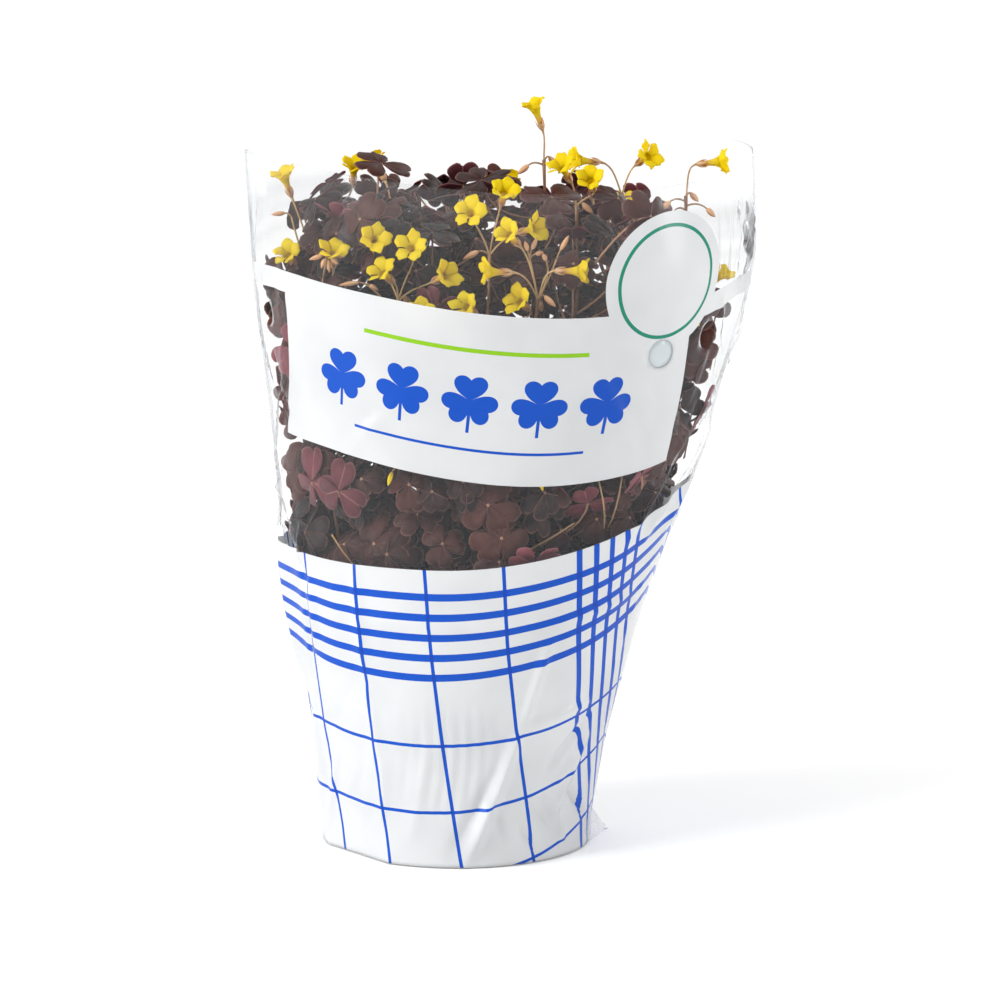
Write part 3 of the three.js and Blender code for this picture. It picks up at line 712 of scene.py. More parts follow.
def fill_leaves(stems):
    """Leaves by a seeded draw, each where it clears the rest, the film and the blooms."""
    random = random_source(FILL["seed"])
    for n in range(FILL["count"]):
        for _ in range(FILL["tries"]):
            leaf = fill_leaf(random, n)
            rise = mix(*FILL["petiole_rise"], random())
            if leaf.hub[2] > bush_height(leaf.hub[0]) - FILL["loose_top"] * random() ** 2:
                continue
            if not leaf_inside(leaf):
                continue
            if not beads.clear(leaf.leaflet_centres(), FILL["bead"] * leaf.size, ease=fill_ease):
                continue
            if hides_bloom(leaf):
                continue
            take_leaf(stems, leaf, rise)
            break


# Pieces: points and faces gathered bit by bit


@functools.cache
def slab_faces(rows, columns):
    """Faces of a thin body: a grid of points over another, and the wall round them. Also which are wall."""
    r, c = np.mgrid[0 : rows - 1, 0 : columns - 1]
    a = (r * columns + c).ravel()
    top = np.stack([a, a + columns, a + columns + 1, a + 1], 1)
    count = rows * columns
    low = top[:, ::-1] + count
    edge = [i * columns for i in range(rows)]
    edge += [(rows - 1) * columns + i for i in range(1, columns)]
    edge += [i * columns + columns - 1 for i in range(rows - 2, -1, -1)]
    edge += list(range(columns - 2, 0, -1))
    here = np.array(edge)
    after = np.roll(here, -1)
    wall = np.stack([after, here, here + count, after + count], 1)
    kinds = np.concatenate([np.zeros(len(top)), np.ones(len(low)), np.full(len(wall), 2)])
    return np.concatenate([top, low, wall]), kinds.astype(int)


@functools.cache
def wrapped_quads(rings, sides):
    """Four-cornered faces between rings of points, the last point of each ring joined to its first."""
    grid = np.arange(rings * sides).reshape(rings, sides)
    beyond = np.roll(grid, -1, 1)
    return np.stack([grid[:-1], beyond[:-1], beyond[1:], grid[1:]], -1)


@functools.cache
def tube_faces(rings, sides):
    """Faces of a tube of rings of points with flat ends: its wall, its first end and its last."""
    first = list(range(sides))[::-1]
    last = [(rings - 1) * sides + i for i in range(sides)]
    return wrapped_quads(rings, sides).reshape(-1, 4), first, last


# A tube's first ring starts near this direction
TUBE_FIRST_AXIS = (1, 0.3, 0.1)


class Shape:
    """What one piece is made of. Each add() is a closed body with one or more materials."""

    def __init__(self):
        self.points, self.faces, self.slots, self.smooth, self.marks = [], [], [], [], []
        self.count = 0

    def add(self, points, faces, slots, smooth, marks=None):
        points = np.asarray(points).reshape(-1, 3)
        if marks is None:
            marks = np.zeros((len(points), 3))
        marks = np.asarray(marks, float)
        marks = marks.reshape(-1, marks.shape[-1])
        if marks.shape[1] == 3:
            marks = np.concatenate([marks, np.zeros((len(marks), 1))], 1)
        self.points.append(points)
        self.marks.append(marks)
        start = self.count
        self.faces += [tuple(start + i for i in face) for face in faces]
        self.slots += list(slots)
        self.smooth += list(smooth)
        self.count += len(points)

    def add_rings(self, rings, slot, marks=None, smooth=True, smooth_ends=False):
        """A closed body through rings of points, with a flat face at each end."""
        wall, first, last = tube_faces(*np.shape(rings)[:2])
        faces = wall.tolist() + [first, last]
        smoothed = [smooth] * len(wall) + [smooth_ends] * 2
        self.add(rings, faces, [slot] * len(faces), smoothed, marks)

    def add_slab(self, top, low, top_slot=0, low_slot=None, marks=None):
        """A thin body between two grids of the same size, such as a blade's two faces."""
        rows, columns = top.shape[:2]
        faces, kinds = slab_faces(rows, columns)
        low_slot = top_slot if low_slot is None else low_slot
        slots = np.array([top_slot, low_slot, low_slot])[kinds]
        if marks is not None:
            marks = np.concatenate([marks.reshape(-1, marks.shape[-1])] * 2)
        points = np.concatenate([top.reshape(-1, 3), low.reshape(-1, 3)])
        self.add(points, faces.tolist(), slots.tolist(), (kinds < 2).tolist(), marks)

    def add_tube(self, path, radii, sides, slot, tone=0.0):
        """A round stem along a path, with a radius at each of its points."""
        path = np.asarray(path, float)
        radii = np.broadcast_to(radii, len(path))
        ahead = np.concatenate([path[1:], path[-1:]])
        behind = np.concatenate([path[:1], path[:-1]])
        axis = vector(TUBE_FIRST_AXIS)
        angles = round_angles(sides)
        rings = []
        for point, tangent, radius in zip(path, ahead - behind, radii):
            tangent = unit(tangent)
            axis = unit(axis - tangent * (axis @ tangent))
            across = np.cross(tangent, axis)
            spokes = np.outer(np.cos(angles), axis) + np.outer(np.sin(angles), across)
            rings.append(point + spokes * radius)
        marks = np.zeros((len(path), sides, 3))
        marks[..., 0] = np.linspace(0, 1, len(path))[:, None]
        marks[..., 1] = angles / math.tau
        marks[..., 2] = tone
        self.add_rings(rings, slot, marks)


def new_mesh(name, points, faces, materials):
    """A mesh from points in mm."""
    mesh = bpy.data.meshes.new(name)
    mesh.from_pydata((points * MM).tolist(), [], faces)
    for material in materials:
        mesh.materials.append(material)
    return mesh


def new_object(name, data):
    made = bpy.data.objects.new(name, data)
    bpy.context.scene.collection.objects.link(made)
    return made


def make_piece(name, shape, materials, replaces=()):
    """One Blender object from a shape. Its marks go into a UV map (two numbers) and two attributes."""
    marks = np.concatenate(shape.marks)
    mesh = new_mesh(name, np.concatenate(shape.points), shape.faces, materials)
    mesh.polygons.foreach_set("material_index", np.array(shape.slots, np.int32))
    mesh.polygons.foreach_set("use_smooth", np.array(shape.smooth, bool))
    corners = np.zeros(len(mesh.loops), np.int32)
    mesh.loops.foreach_get("vertex_index", corners)
    layer = mesh.uv_layers.new(name="place")
    layer.data.foreach_set("uv", marks[corners, :2].astype(np.float32).ravel())
    for column, name_of_mark in ((2, "tone"), (3, "edge")):
        attribute = mesh.attributes.new(name_of_mark, "FLOAT", "POINT")
        attribute.data.foreach_set("value", marks[:, column].astype(np.float32))
    mesh.update()
    return put(name, mesh, replaces)


def put(name, mesh, replaces=()):
    piece = new_object(name, mesh)
    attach(piece, "root")
    if replaces:
        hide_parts(*replaces)
    return piece


# Leaves

LEAFLET_ROWS = (0.06, 0.6, 1.0)
LEAFLET_THICKNESS = (0.32, 0.3, 0.14)
# How far a leaflet folds, droops and curls: least and most
LEAFLET_FOLD = (0.1, 1.1)
LEAFLET_DROOP = (-0.3, 1.4)
LEAFLET_CURL = (-1.2, 1.2)
PETIOLE_RADII = (0.5, 0.36)
PETIOLE_HEAD_RADIUS = 0.6


@functools.cache
def leaflet_grid():
    """A heart-shaped leaflet, flat, its midrib along X from the hub: rows outward, columns across."""
    wing = [(0.25, 0.3, 0), (2.2, 1.9, 0), (3.2, 5.7, 0), (6.7, 5.85, 0)]
    lobe = [(6.7, 5.85, 0), (10.0, 6.0, 0), (12.6, 1.5, 0), (8.5, 0, 0)]
    side = np.concatenate([bezier(wing, np.linspace(0, 1, 4)), bezier(lobe, np.linspace(0, 1, 7))[1:]])
    side = side[:, :2]
    rim = np.concatenate([side * (1, -1), side[::-1][1:]])
    return np.array(LEAFLET_ROWS)[:, None, None] * rim[None]


def add_leaf(shape, leaf, random):
    """Three leaflets that fold down a little from their midribs, on a petiole."""
    grid = leaflet_grid()
    x, y = grid[..., 0], grid[..., 1]
    tone = random()
    thin = np.array(LEAFLET_THICKNESS)[:, None, None]
    edge = np.broadcast_to(np.array(LEAFLET_ROWS)[:, None], x.shape)
    marks = np.stack([x / 12, y / 12 + 0.5, np.full_like(x, tone), edge], 2)
    for k in range(3):
        fold = mix(*LEAFLET_FOLD, random() ** 1.5)
        droop = mix(*LEAFLET_DROOP, random())
        curl = mix(*LEAFLET_CURL, random())
        wave = random() * math.tau
        height = -0.2 * fold * np.abs(y) - 0.0165 * droop * x * x
        height = height + 0.0016 * curl * x * y * np.abs(y)
        height = height + 0.22 * (x / 9) ** 2 * np.sin(y * 1.1 + x * 0.7 + wave)
        along, across, up = leaf.leaflet_frame(k)
        bent = x[..., None] * along + y[..., None] * across + height[..., None] * up
        top = leaf.hub + leaf.size * bent
        shape.add_slab(top, top - up * thin, 0, 1, marks)
    path = bezier(leaf.petiole, np.linspace(0, 1, 8))
    path[-1] = leaf.hub - leaf.up * 0.15
    radii = np.linspace(*PETIOLE_RADII, len(path))
    radii[-1] = PETIOLE_HEAD_RADIUS
    shape.add_tube(path, radii, 5, 2, mix(0.35, 1.0, tone))


def stem_shape(stem, random):
    shape = Shape()
    path = column_path(stem["column"], ROOT_Z, stem["top_z"], 30)
    swell = 1 + 0.2 * np.sin(np.arange(31) * 2.1) ** 8
    radii = np.linspace(STEM["radius"], STEM["radius"] * 0.5, 31) * swell
    shape.add_tube(path, radii, 8, 2, 0.15 * random())
    for leaf in stem["leaves"]:
        add_leaf(shape, leaf, random)
    return shape


# Flower stalks, calyces and buds

# A bud's radius at shares of its length
BUD_PROFILE = [(0, 0.4), (0.08, 0.72), (0.25, 0.98), (0.45, 1.05), (0.66, 0.86), (0.85, 0.5), (1, 0.08)]
BUD_SIDES = 15
# A bloom's stem is wider at the fork and under its calyx
PEDICEL_RADII = np.array([0.5] + [0.33] * 9 + [0.42, 0.65])
SEPAL_LENGTH = (3.4, 4.4)
SEPAL_THICKNESS = 0.2


def add_bud(shape, curve, length, random, slot=1, girth=1.0):
    """A pointed bud in five folded sepals, on its short stem."""
    path = bezier(curve, np.linspace(0, 1, 7))
    axis = unit(vector(curve[2]) - vector(curve[1]))
    shape.add_tube(path, np.linspace(0.36, 0.3, 7), 6, 0, 0.3)
    turn = turn_up_to(axis)
    angles = round_angles(BUD_SIDES)
    rings = []
    for along, radius in BUD_PROFILE:
        ribbed = girth * radius * (1 + 0.12 * np.cos(5 * angles + along * 1.4))
        rings.append(circle(ribbed, along * length, angles) @ turn.T + path[-1])
    marks = np.zeros((len(BUD_PROFILE), BUD_SIDES, 3))
    marks[..., 0] = np.array([along for along, _ in BUD_PROFILE])[:, None]
    marks[..., 1] = np.arange(BUD_SIDES) / BUD_SIDES
    marks[..., 2] = random()
    shape.add_rings(rings, slot, marks, smooth_ends=True)


def add_twig(shape, column, twig, random):
    """A thin branch from a stalk's column, with its buds hanging round the tip."""
    _, low_z, bend, tip, buds = twig
    curve = [column_point(column, low_z), vector(bend), vector(tip)]
    path = bezier(curve, np.linspace(0, 1, 14))
    shape.add_tube(path, np.linspace(0.42, 0.32, 14), 6, 0, 0.75 if buds else 0.45)
    ahead = unit(curve[2] - curve[1])
    for way, length, slot in buds:
        start = curve[2] - ahead * 0.6 * random()
        middle = start + ahead * 0.8 + unit(vector(way)) * 0.8 + UP * 0.7
        end = middle + unit(vector(way)) * 1.4
        add_bud(shape, [start, middle, end], length, random, slot, 0.8)


def add_calyx(shape, bloom, random):
    """Five pointed sepals that lie close round the foot of the corolla."""
    foot = vector(bloom[0])
    turn = turn_up_to(bloom_axis(bloom))
    rows, columns = 6, 5
    s = np.linspace(0, 1, rows)[:, None]
    c = np.linspace(-1, 1, columns)[None]
    for k in range(5):
        length = mix(*SEPAL_LENGTH, random())
        half = 0.5 * (1 - 0.45 * s) * (1 - s**4)
        radius = 0.6 + 0.82 * np.sin(np.minimum(s * 1.8, 1) * math.pi / 2) + 0.14 * s**2
        angle = k * math.tau / 5 + 0.6 + c * half * 1.4
        height = -0.2 + s * length
        top = circle(radius, height, angle)[:, ::-1] @ turn.T + foot
        low = circle(radius - SEPAL_THICKNESS, height, angle)[:, ::-1] @ turn.T + foot
        marks = np.stack([s + 0 * c, 0.5 + 0.5 * c + 0 * s, np.full((rows, columns), random())], 2)
        shape.add_slab(low, top, 1, 1, marks)


def stalk_shape(spray, index, random):
    shape = Shape()
    fork = vector(spray[0])
    column = column_through(fork)
    path = column_path(column, ROOT_Z, fork[2], 30)
    radii = np.linspace(STALK_RADIUS * 0.9, STALK_RADIUS * 0.6, 31)
    radii[-2:] *= (1.2, 1.5)
    shape.add_tube(path, radii, 7, 0, 0.3 * random())
    for bloom in spray[1]:
        path = bezier(pedicel_points(fork, bloom), np.linspace(0, 1, len(PEDICEL_RADII)))
        shape.add_tube(path, PEDICEL_RADII, 6, 0, mix(0.6, 1.0, random()))
        add_calyx(shape, bloom, random)
    for i, curve in enumerate(bud_points(spray, index)):
        add_bud(shape, curve, BUD_LENGTH * (1 - 0.14 * i), random)
    for twig in TWIGS:
        if twig[0] == index:
            add_twig(shape, column, twig, random)
    return shape


# Corollas

PETAL_ROWS = 10
PETAL_COLUMNS = 9
PETAL_THICKNESS = 0.16
# A petal starts inside the tube, this far out and this far below its end
PETAL_FOOT_RADIUS = 1.1
PETAL_FOOT_DEPTH = 1.4
TUBE_SIDES = 20
TUBE_THICKNESS = 0.2
# From a closed trumpet to a wide open flower: the tube's end, the petals' half-width, and their tips
TUBE_END_Z = (5.0, 3.4)
PETAL_HALF_WIDTH = (2.35, 2.65)
TIP_RADIUS = (4.4, 6.6)
TIP_Z = (8.7, 5.4)


def corolla_shape(bloom, random):
    """A funnel whose mouth opens into five separate petals that lap like a pinwheel."""
    shape = Shape()
    start = vector(bloom[0]) + bloom_axis(bloom) * (CALYX_LENGTH + CLEARANCE)
    turn = turn_up_to(bloom_axis(bloom))
    tone = random()
    # Those that look out at the front have opened most
    openness = 0.35 * random() + 0.65 * max(-bloom_axis(bloom)[1], 0)
    tube_z = mix(*TUBE_END_Z, openness)
    outline = [(0.95, -1.2, 0), (1.0, tube_z * 0.4, 0), (1.3, tube_z * 0.7, 0), (2.1, tube_z, 0)]
    profile = bezier(outline, np.linspace(0, 1, 9))
    radius, height = profile[:, :1], profile[:, 1:2]
    angles = round_angles(TUBE_SIDES)
    fluted = radius * (1 + 0.04 * np.cos(5 * angles)[None])
    outer = circle(fluted, height, angles) @ turn.T + start
    inner = circle(fluted - TUBE_THICKNESS, height, angles) @ turn.T + start
    add_ring_wall(shape, outer, inner, profile[:, 1] / COROLLA["length"], tone)
    for k in range(5):
        top, low, side, s = petal(k, tube_z, openness, random)
        angle = k * math.tau / 5
        sine, cosine = math.sin(angle), math.cos(angle)
        spin = np.array([[cosine, -sine, 0], [sine, cosine, 0], [0, 0, 1]])
        along = np.broadcast_to(0.5 + 0.5 * s, side.shape)
        marks = np.stack([along, 0.5 + side / 7, np.full(side.shape, tone)], 2)
        top, low = top @ spin.T @ turn.T + start, low @ spin.T @ turn.T + start
        shape.add_slab(top, low, 0, 0, marks)
    return shape


def petal(k, tube_z, openness, random):
    """The two faces of a petal that grows out along +X from inside the tube, to a blunt tip."""
    tip_radius, tip_z = mix(*TIP_RADIUS, openness), mix(*TIP_Z, openness)
    s = np.linspace(0, 1, PETAL_ROWS)[:, None]
    c = np.linspace(-1, 1, PETAL_COLUMNS)[None]
    reach = mix(0.84, 1.07, random())
    back = mix(-0.6, 1.3, random()) * (0.4 + openness)
    twist = mix(0.1, 0.4, random())
    widest = mix(0.9, 1.12, random()) * mix(*PETAL_HALF_WIDTH, openness)
    ragged = mix(0.03, 0.1, random())
    half = widest * (0.32 + 0.68 * smooth_step(0, 0.68, s))
    # The petal's corners fall short of the middle of its tip
    corner = 0.42 * np.abs(c) ** 2.6
    wave = np.cos(c * 5.2 + random() * 6)
    out = s * (1 - corner * smooth_step(0.35, 1.0, s)) + ragged * wave * smooth_step(0.6, 1.0, s)
    out = np.maximum(out, 0)
    foot_radius, foot_z = PETAL_FOOT_RADIUS, tube_z - PETAL_FOOT_DEPTH
    radial = foot_radius + (tip_radius - foot_radius) * reach * out**1.25
    climb = 1 - np.maximum(1 - out, 0) ** mix(1.8, 2.6, openness)
    rise = foot_z + (tip_z - foot_z) * climb - back * out**3
    side = c * half
    lift = twist * side - 0.08 * side**2 * s + 0.18 * np.sin(side * 2.0 + s * 5 + k) * s
    top = np.stack([radial, side + 0 * s, rise + lift], 2)
    normal = np.cross(np.gradient(top, axis=0), np.gradient(top, axis=1))
    normal /= np.linalg.norm(normal, axis=2, keepdims=True)
    return top, top - normal * PETAL_THICKNESS, side, s


def add_ring_wall(shape, outer, inner, along, tone):
    """A closed thin wall between two grids whose columns run right round."""
    rows, sides = outer.shape[:2]
    count = rows * sides
    wall = wrapped_quads(rows, sides).reshape(-1, 4)
    first = np.arange(sides)
    after = (first + 1) % sides
    low = np.stack([after, first, count + first, count + after], 1)
    top = np.stack([first, after, count + after, count + first], 1) + count - sides
    every = np.concatenate([wall, wall[:, [1, 0, 3, 2]] + count, top, low])
    smooth = [True] * (2 * len(wall)) + [False] * (2 * sides)
    marks = np.zeros((2, rows, sides, 3))
    marks[0, ..., 0] = np.asarray(along)[:, None]
    marks[1, ..., 0] = 0.45
    marks[..., 1] = first / sides
    marks[..., 2] = tone
    shape.add(np.stack([outer, inner]), every.tolist(), [0] * len(every), smooth, marks)


# The film sleeve

FILM = 0.12
FILM_ROWS = 168
FILM_LOW_Z = 0.5
SEAM_LEFT = -84.0
SEAM_RIGHT = 82.0
FRONT_VENTS = [(-72.4, 198.3), (41.7, 188.0), (58.7, 192.3)]
VENTS = FRONT_VENTS + [(180 - angle, z) for angle, z in FRONT_VENTS]
VENT_RADIUS = 5.2
DISC_VENT = FRONT_VENTS[1]
# Radius of each ring of the vent's disc and its depth, from the middle of its back round to its front
DISC_RINGS = ((0.3, FILM), (2.8, FILM), (5.7, FILM), (5.7, 0.0), (2.8, 0.0), (0.3, 0.0))
DISC_BEHIND = 0.22
# The welds stand out as fins above this height
WELD_LOW_Z = 118


def film_angles():
    """Columns round the sleeve, in degrees, from the left seam round: close at the front, wider behind."""
    front = np.arange(SEAM_LEFT - 14, SEAM_RIGHT + 14, 1.12)
    back = np.linspace(SEAM_RIGHT + 14, SEAM_LEFT - 14 + 360, 72)[:-1]
    every = np.concatenate([front, back])
    every = np.where(every < SEAM_LEFT, every + 360, every)
    return np.sort(every)


def soft_section(z):
    """The sleeve's section with the stations' corners rounded off."""
    total = 0
    for shift in (-9, -4.5, 0, 4.5, 9):
        zs = np.clip(z + shift, STATIONS[0, 0], STATIONS[-1, 0])
        total = total + np.stack([np.interp(zs, STATIONS[:, 0], STATIONS[:, i]) for i in (1, 2, 3)])
    return total / 5


def mean_radius(z):
    wide, deep = (np.interp(z, STATIONS[:, 0], STATIONS[:, i]) for i in (2, 3))
    return np.sqrt((wide**2 + deep**2) / 2)


def rim_z(theta):
    return 246.6 + 8.6 * np.sin(np.radians(theta - 18)) ** 2


# Folds of the film: from one place to another as (angle, height), then width and height of the ridge
FOLDS = [
    ((22.5, 52), (2.4, -3), 3.8, 3.3),
    ((16, 40), (-4, 2), 5.0, -1.0),
    ((27.6, 86), (22.5, 52), 3.0, 2.1),
    ((22.5, 52), (54, 59), 3.4, 1.6),
    ((56, 54), (34, 34), 3.0, -1.8),
    ((58, 48), (40, 14), 3.2, 1.9),
    ((46, 30), (66, 12), 2.6, -2.2),
    ((36, 26), (52, 4), 2.6, 2.2),
    ((30, 22), (44, 8), 2.2, 1.7),
    ((24, 16), (36, 3), 2.2, -1.6),
    ((12, 30), (20, 6), 2.6, -1.0),
    ((52, 40), (40, 26), 2.4, 1.2),
    ((48, 22), (60, 16), 2.0, 1.1),
    ((-12, 46), (-20, 8), 7.0, 0.9),
    ((-30, 40), (-34, 12), 5.0, 0.8),
    ((-38, 114), (-36, 68), 4.5, 1.2),
    ((-36, 68), (-30, 34), 5.0, 0.8),
    ((-59, 105), (-58, 76), 3.5, 1.5),
    ((-64, 100), (-66, 60), 3.0, -1.4),
    ((-66, 66), (-72, 26), 4.0, 1.5),
    ((-56, 40), (-74, 6), 3.5, 1.1),
    ((-76, 128), (-60, 98), 3.0, -1.6),
    ((-70, 140), (-66, 112), 4.0, 1.6),
    ((-44, 93), (18, 90), 3.6, 0.6),
    ((18, 90), (64, 98), 3.6, 0.9),
    ((60, 146), (46, 116), 4.6, 1.7),
    ((72, 164), (54, 126), 5.0, -1.6),
    ((62, 182), (72, 148), 4.6, 2.0),
    ((80, 196), (66, 156), 5.5, 2.6),
    ((84, 160), (70, 118), 5.5, 2.4),
    ((62, 206), (68, 172), 4.6, 2.0),
    ((76, 222), (84, 178), 5.5, 2.4),
    ((80, 240), (72, 206), 3.0, 2.4),
    ((76, 238), (72, 210), 2.0, -1.8),
    ((70, 246), (74, 212), 2.2, 1.8),
    ((67, 240), (74, 206), 2.0, -1.6),
    ((64, 244), (72, 216), 2.4, 1.5),
    ((84, 236), (74, 208), 2.4, -2.0),
    ((66, 190), (78, 176), 3.0, 1.6),
    ((70, 176), (60, 148), 3.2, 2.2),
    ((78, 156), (62, 134), 4.6, 2.4),
    ((66, 136), (56, 116), 3.4, 1.6),
    ((-68, 246), (-80, 204), 4.0, 1.8),
    ((-60, 232), (-66, 206), 5.0, -0.8),
    ((-82, 200), (-72, 168), 3.2, 2.0),
    ((-66, 178), (-78, 142), 3.2, 2.0),
    ((-76, 188), (-64, 160), 2.4, -1.6),
    ((-80, 150), (-68, 126), 2.6, 2.2),
    ((-70, 144), (-78, 116), 2.4, 1.8),
    ((-64, 128), (-76, 112), 2.2, -1.8),
    ((-60, 124), (-66, 106), 2.2, 1.8),
    ((-84, 126), (-80, 56), 13.0, 3.4),
    ((-30, 196), (12, 186), 7.0, 0.5),
    ((20, 190), (44, 150), 6.0, 0.9),
    ((24, 174), (45, 146), 8.0, 1.2),
    ((40, 178), (53, 156), 7.0, -1.2),
    ((-20, 176), (-44, 148), 6.0, 0.5),
]
# Folds that shift the print: from one place to another, then how far across and up on each side, in mm
TUCKS = [
    ((58, 56), (34, 34), 1.1, 0.3),
    ((22.5, 54), (2.4, -3), 0.2, 0.5),
    ((-61, 104), (-66, 50), 0.6, 1.1),
]
# The hem is drawn straight between these angles, where the film's corner is tucked under
HEM_CORNERS = (-73, -30)
HEM_CORNER_HEIGHT = 46
# Small folds by a seeded draw: least and most of each, and the spread of their lean in degrees
SMALL_FOLDS = {
    "count": 150,
    "seed": 90210,
    "level": (8, 246),
    "lean": 70,
    "reach": (6, 26),
    "width": (2.4, 6.5),
    "height": (-1.4, 1.8),
}
# The check's climb, at heights in its own mm, as mm for each degree squared away from the front
RISE_TO_RIGHT = ([-4, 21, 46.5, 72, 112], [0.0026, 0.0026, 0.0020, 0.0030, 0.0030])
RISE_TO_LEFT = ([-4, 21, 46.5, 72, 101, 112], [0.0002, 0.0006, 0.0014, 0.0018, 0.0005, 0.0002])
# How far the check leans for each mm down from its top edge, and how far the label climbs to the sides
CHECK_SLANT = 0.175
LABEL_CLIMB = 13.4
FAR_AWAY = 1000
# Millimetres of print for one unit of its UV map
PRINT_SCALE = 100


def along_fold(u, z, spot, end):
    """Where points lie beside a fold: the share of the way along it, and how far off it, in mm."""
    du, dz = end[0] - spot[0], end[1] - spot[1]
    length = math.hypot(du, dz)
    along = ((u - spot[0]) * du + (z - spot[1]) * dz) / length**2
    return along, ((u - spot[0]) * dz - (z - spot[1]) * du) / length


def fold_height(u, z, spot, end, width, height):
    """A straight ridge with a sharp crest that fades out at both ends. u is arc length in mm."""
    along, off = along_fold(u, z, spot, end)
    fade = np.clip(1 - np.abs(along * 2 - 1) ** 3, 0, 1)
    crest = np.clip(1 - np.abs(off) / width, 0, 1)
    return height * crest ** (1.25 if width < 4.5 else 1.6) * fade


@functools.cache
def every_fold():
    """The folds of the table and the small seeded ones, from place to place in arc length and height."""
    placed = [(place_on_sleeve(*spot), place_on_sleeve(*end), w, h) for spot, end, w, h in FOLDS]
    return placed + seeded_folds()


def place_on_sleeve(angle, level):
    """The arc length round the sleeve at an angle, and the height, in mm."""
    return math.radians(angle) * float(mean_radius(np.array(level))), level


def seeded_folds():
    """Many small folds: most at the welded sides, a few and faint ones on the print's front."""
    random = random_source(SMALL_FOLDS["seed"])
    folds = []
    for _ in range(SMALL_FOLDS["count"]):
        angle = SEAM_LEFT + 360 * random()
        level = mix(*SMALL_FOLDS["level"], random())
        lean = math.radians(90 + SMALL_FOLDS["lean"] * (random() - 0.5))
        reach = mix(*SMALL_FOLDS["reach"], random() ** 1.5)
        width = mix(*SMALL_FOLDS["width"], random())
        height = mix(*SMALL_FOLDS["height"], random())
        facing = math.cos(math.radians(angle - 5))
        calm = 1 - 0.9 * float(smooth_step(0.45, 0.8, facing))
        low_front = float(smooth_step(70, 50, level)) * float(smooth_step(0.2, 0.6, facing))
        from_left = min(angle - SEAM_LEFT, SEAM_LEFT + 360 - angle)
        strength = max(0.7 * calm, 0.3 * low_front) * mix(0.35, 1, float(smooth_step(0, 40, from_left)))
        u, _ = place_on_sleeve(angle, level)
        du, dz = reach * math.cos(lean), reach * math.sin(lean)
        folds.append(((u - du, level - dz), (u + du, level + dz), width, height * strength))
    return folds


def crumple(theta, z):
    """How far the film stands off its smooth form, in mm."""
    u = np.radians(theta) * mean_radius(z)
    total = np.zeros_like(z)
    for spot, end, width, height in every_fold():
        total += fold_height(u, z, spot, end, width, height)
    slow = 0.8 * np.sin(u / 17 + z / 41) * np.sin(z / 29 + 1.3) + 0.4 * np.sin(u / 7.3 - z / 23)
    side = 1 - 0.55 * smooth_step(0.5, 0.9, np.cos(np.radians(theta)))
    held = 0.35 + 0.65 * smooth_step(0, 12, z)
    pleats = 0.22 * np.sin(u / 0.75 + 1.5 * np.sin(z / 9)) * np.exp(-(((u + 2) / 14) ** 2))
    pleats = pleats * smooth_step(14, 30, z) * (1 - smooth_step(52, 66, z))
    return (total + slow * side) * held + pleats - hem_corner(theta, z)


def hem_corner(theta, z):
    """How far the film lies inside its round section where its hem runs straight."""
    low, high = HEM_CORNERS
    half = (high - low) / 2
    off = np.clip(np.abs(theta - (low + high) / 2), 0, half)
    inset = STATIONS[0, 2] * (1 - math.cos(math.radians(half)) / np.cos(np.radians(off)))
    return inset * (1 - np.clip(z / HEM_CORNER_HEIGHT, 0, 1)) ** 1.3


def rise_of_check(theta, v):
    """How far a printed line of the check climbs away from the front, towards the welded seams."""
    ahead = theta + 15
    turned = np.where(ahead > 90, 180 - ahead, ahead)
    right, left = (np.interp(v, *table) for table in (RISE_TO_RIGHT, RISE_TO_LEFT))
    return np.where(ahead > 0, right * turned**2, left * ahead**2)


def tuck_shift(arc, z):
    """How far the folds shift the check, across and up: one way on one side, the other on the other."""
    across, up = 0, 0
    for spot, end, by_across, by_up in TUCKS:
        along, off = along_fold(arc, z, place_on_sleeve(*spot), place_on_sleeve(*end))
        fade = np.clip(1 - np.abs(along * 2 - 1) ** 4, 0, 1)
        side = np.tanh(off / 0.8) * np.exp(-np.abs(off) / 11) * fade
        across = across + by_across * side
        up = up + by_up * side
    return across, up


def print_places(theta, z):
    """Places in the two prints, in mm: (across, up) in the check, and (across, up) in the label.

    The sleeve is two sheets welded at the sides. The back one is printed as the front is, turned over
    at the right weld, and has no label, which is put far away there.
    """
    back = theta.mean(-1, keepdims=True) > SEAM_RIGHT
    theta = np.where(back, 2 * SEAM_RIGHT - theta, theta)
    arc = np.radians(theta) * mean_radius(z)
    shift_across, shift_up = tuck_shift(arc, z)
    across = arc - CHECK_SLANT * (CHECK["top"] - z) + np.where(back, 0, shift_across)
    v = z.copy()
    for _ in range(4):
        v = z - rise_of_check(theta, v)
    up = z - LABEL_CLIMB * np.sin(np.radians(theta - 18)) ** 2
    check = np.stack([across, v + np.where(back, 0, shift_up)], -1)
    return check, np.stack([np.where(back, FAR_AWAY, arc), up], -1)


def film_points(theta, z, off):
    x, wide, deep = soft_section(z)
    angle = np.radians(theta)
    return np.stack([x + (wide + off) * np.sin(angle), -(deep + off) * np.cos(angle), z], -1)


def face_middles(values, turn=0.0):
    """The mean of each face's corners. The last column's faces join it to the first, a full turn on."""
    beyond = np.concatenate([values[:, 1:], values[:, :1] + turn], 1)
    return np.stack([values[:-1], values[1:], beyond[:-1], beyond[1:]]).mean(0)


def edge_of_hole(hole):
    """The points where the faces that are left out meet those that stay."""
    inside = np.zeros((hole.shape[0] + 1, hole.shape[1]), bool)
    outside = np.zeros_like(inside)
    for rows in (slice(0, -1), slice(1, None)):
        for faces in (hole, np.roll(hole, 1, 1)):
            inside[rows] |= faces
            outside[rows] |= ~faces
    return inside & outside


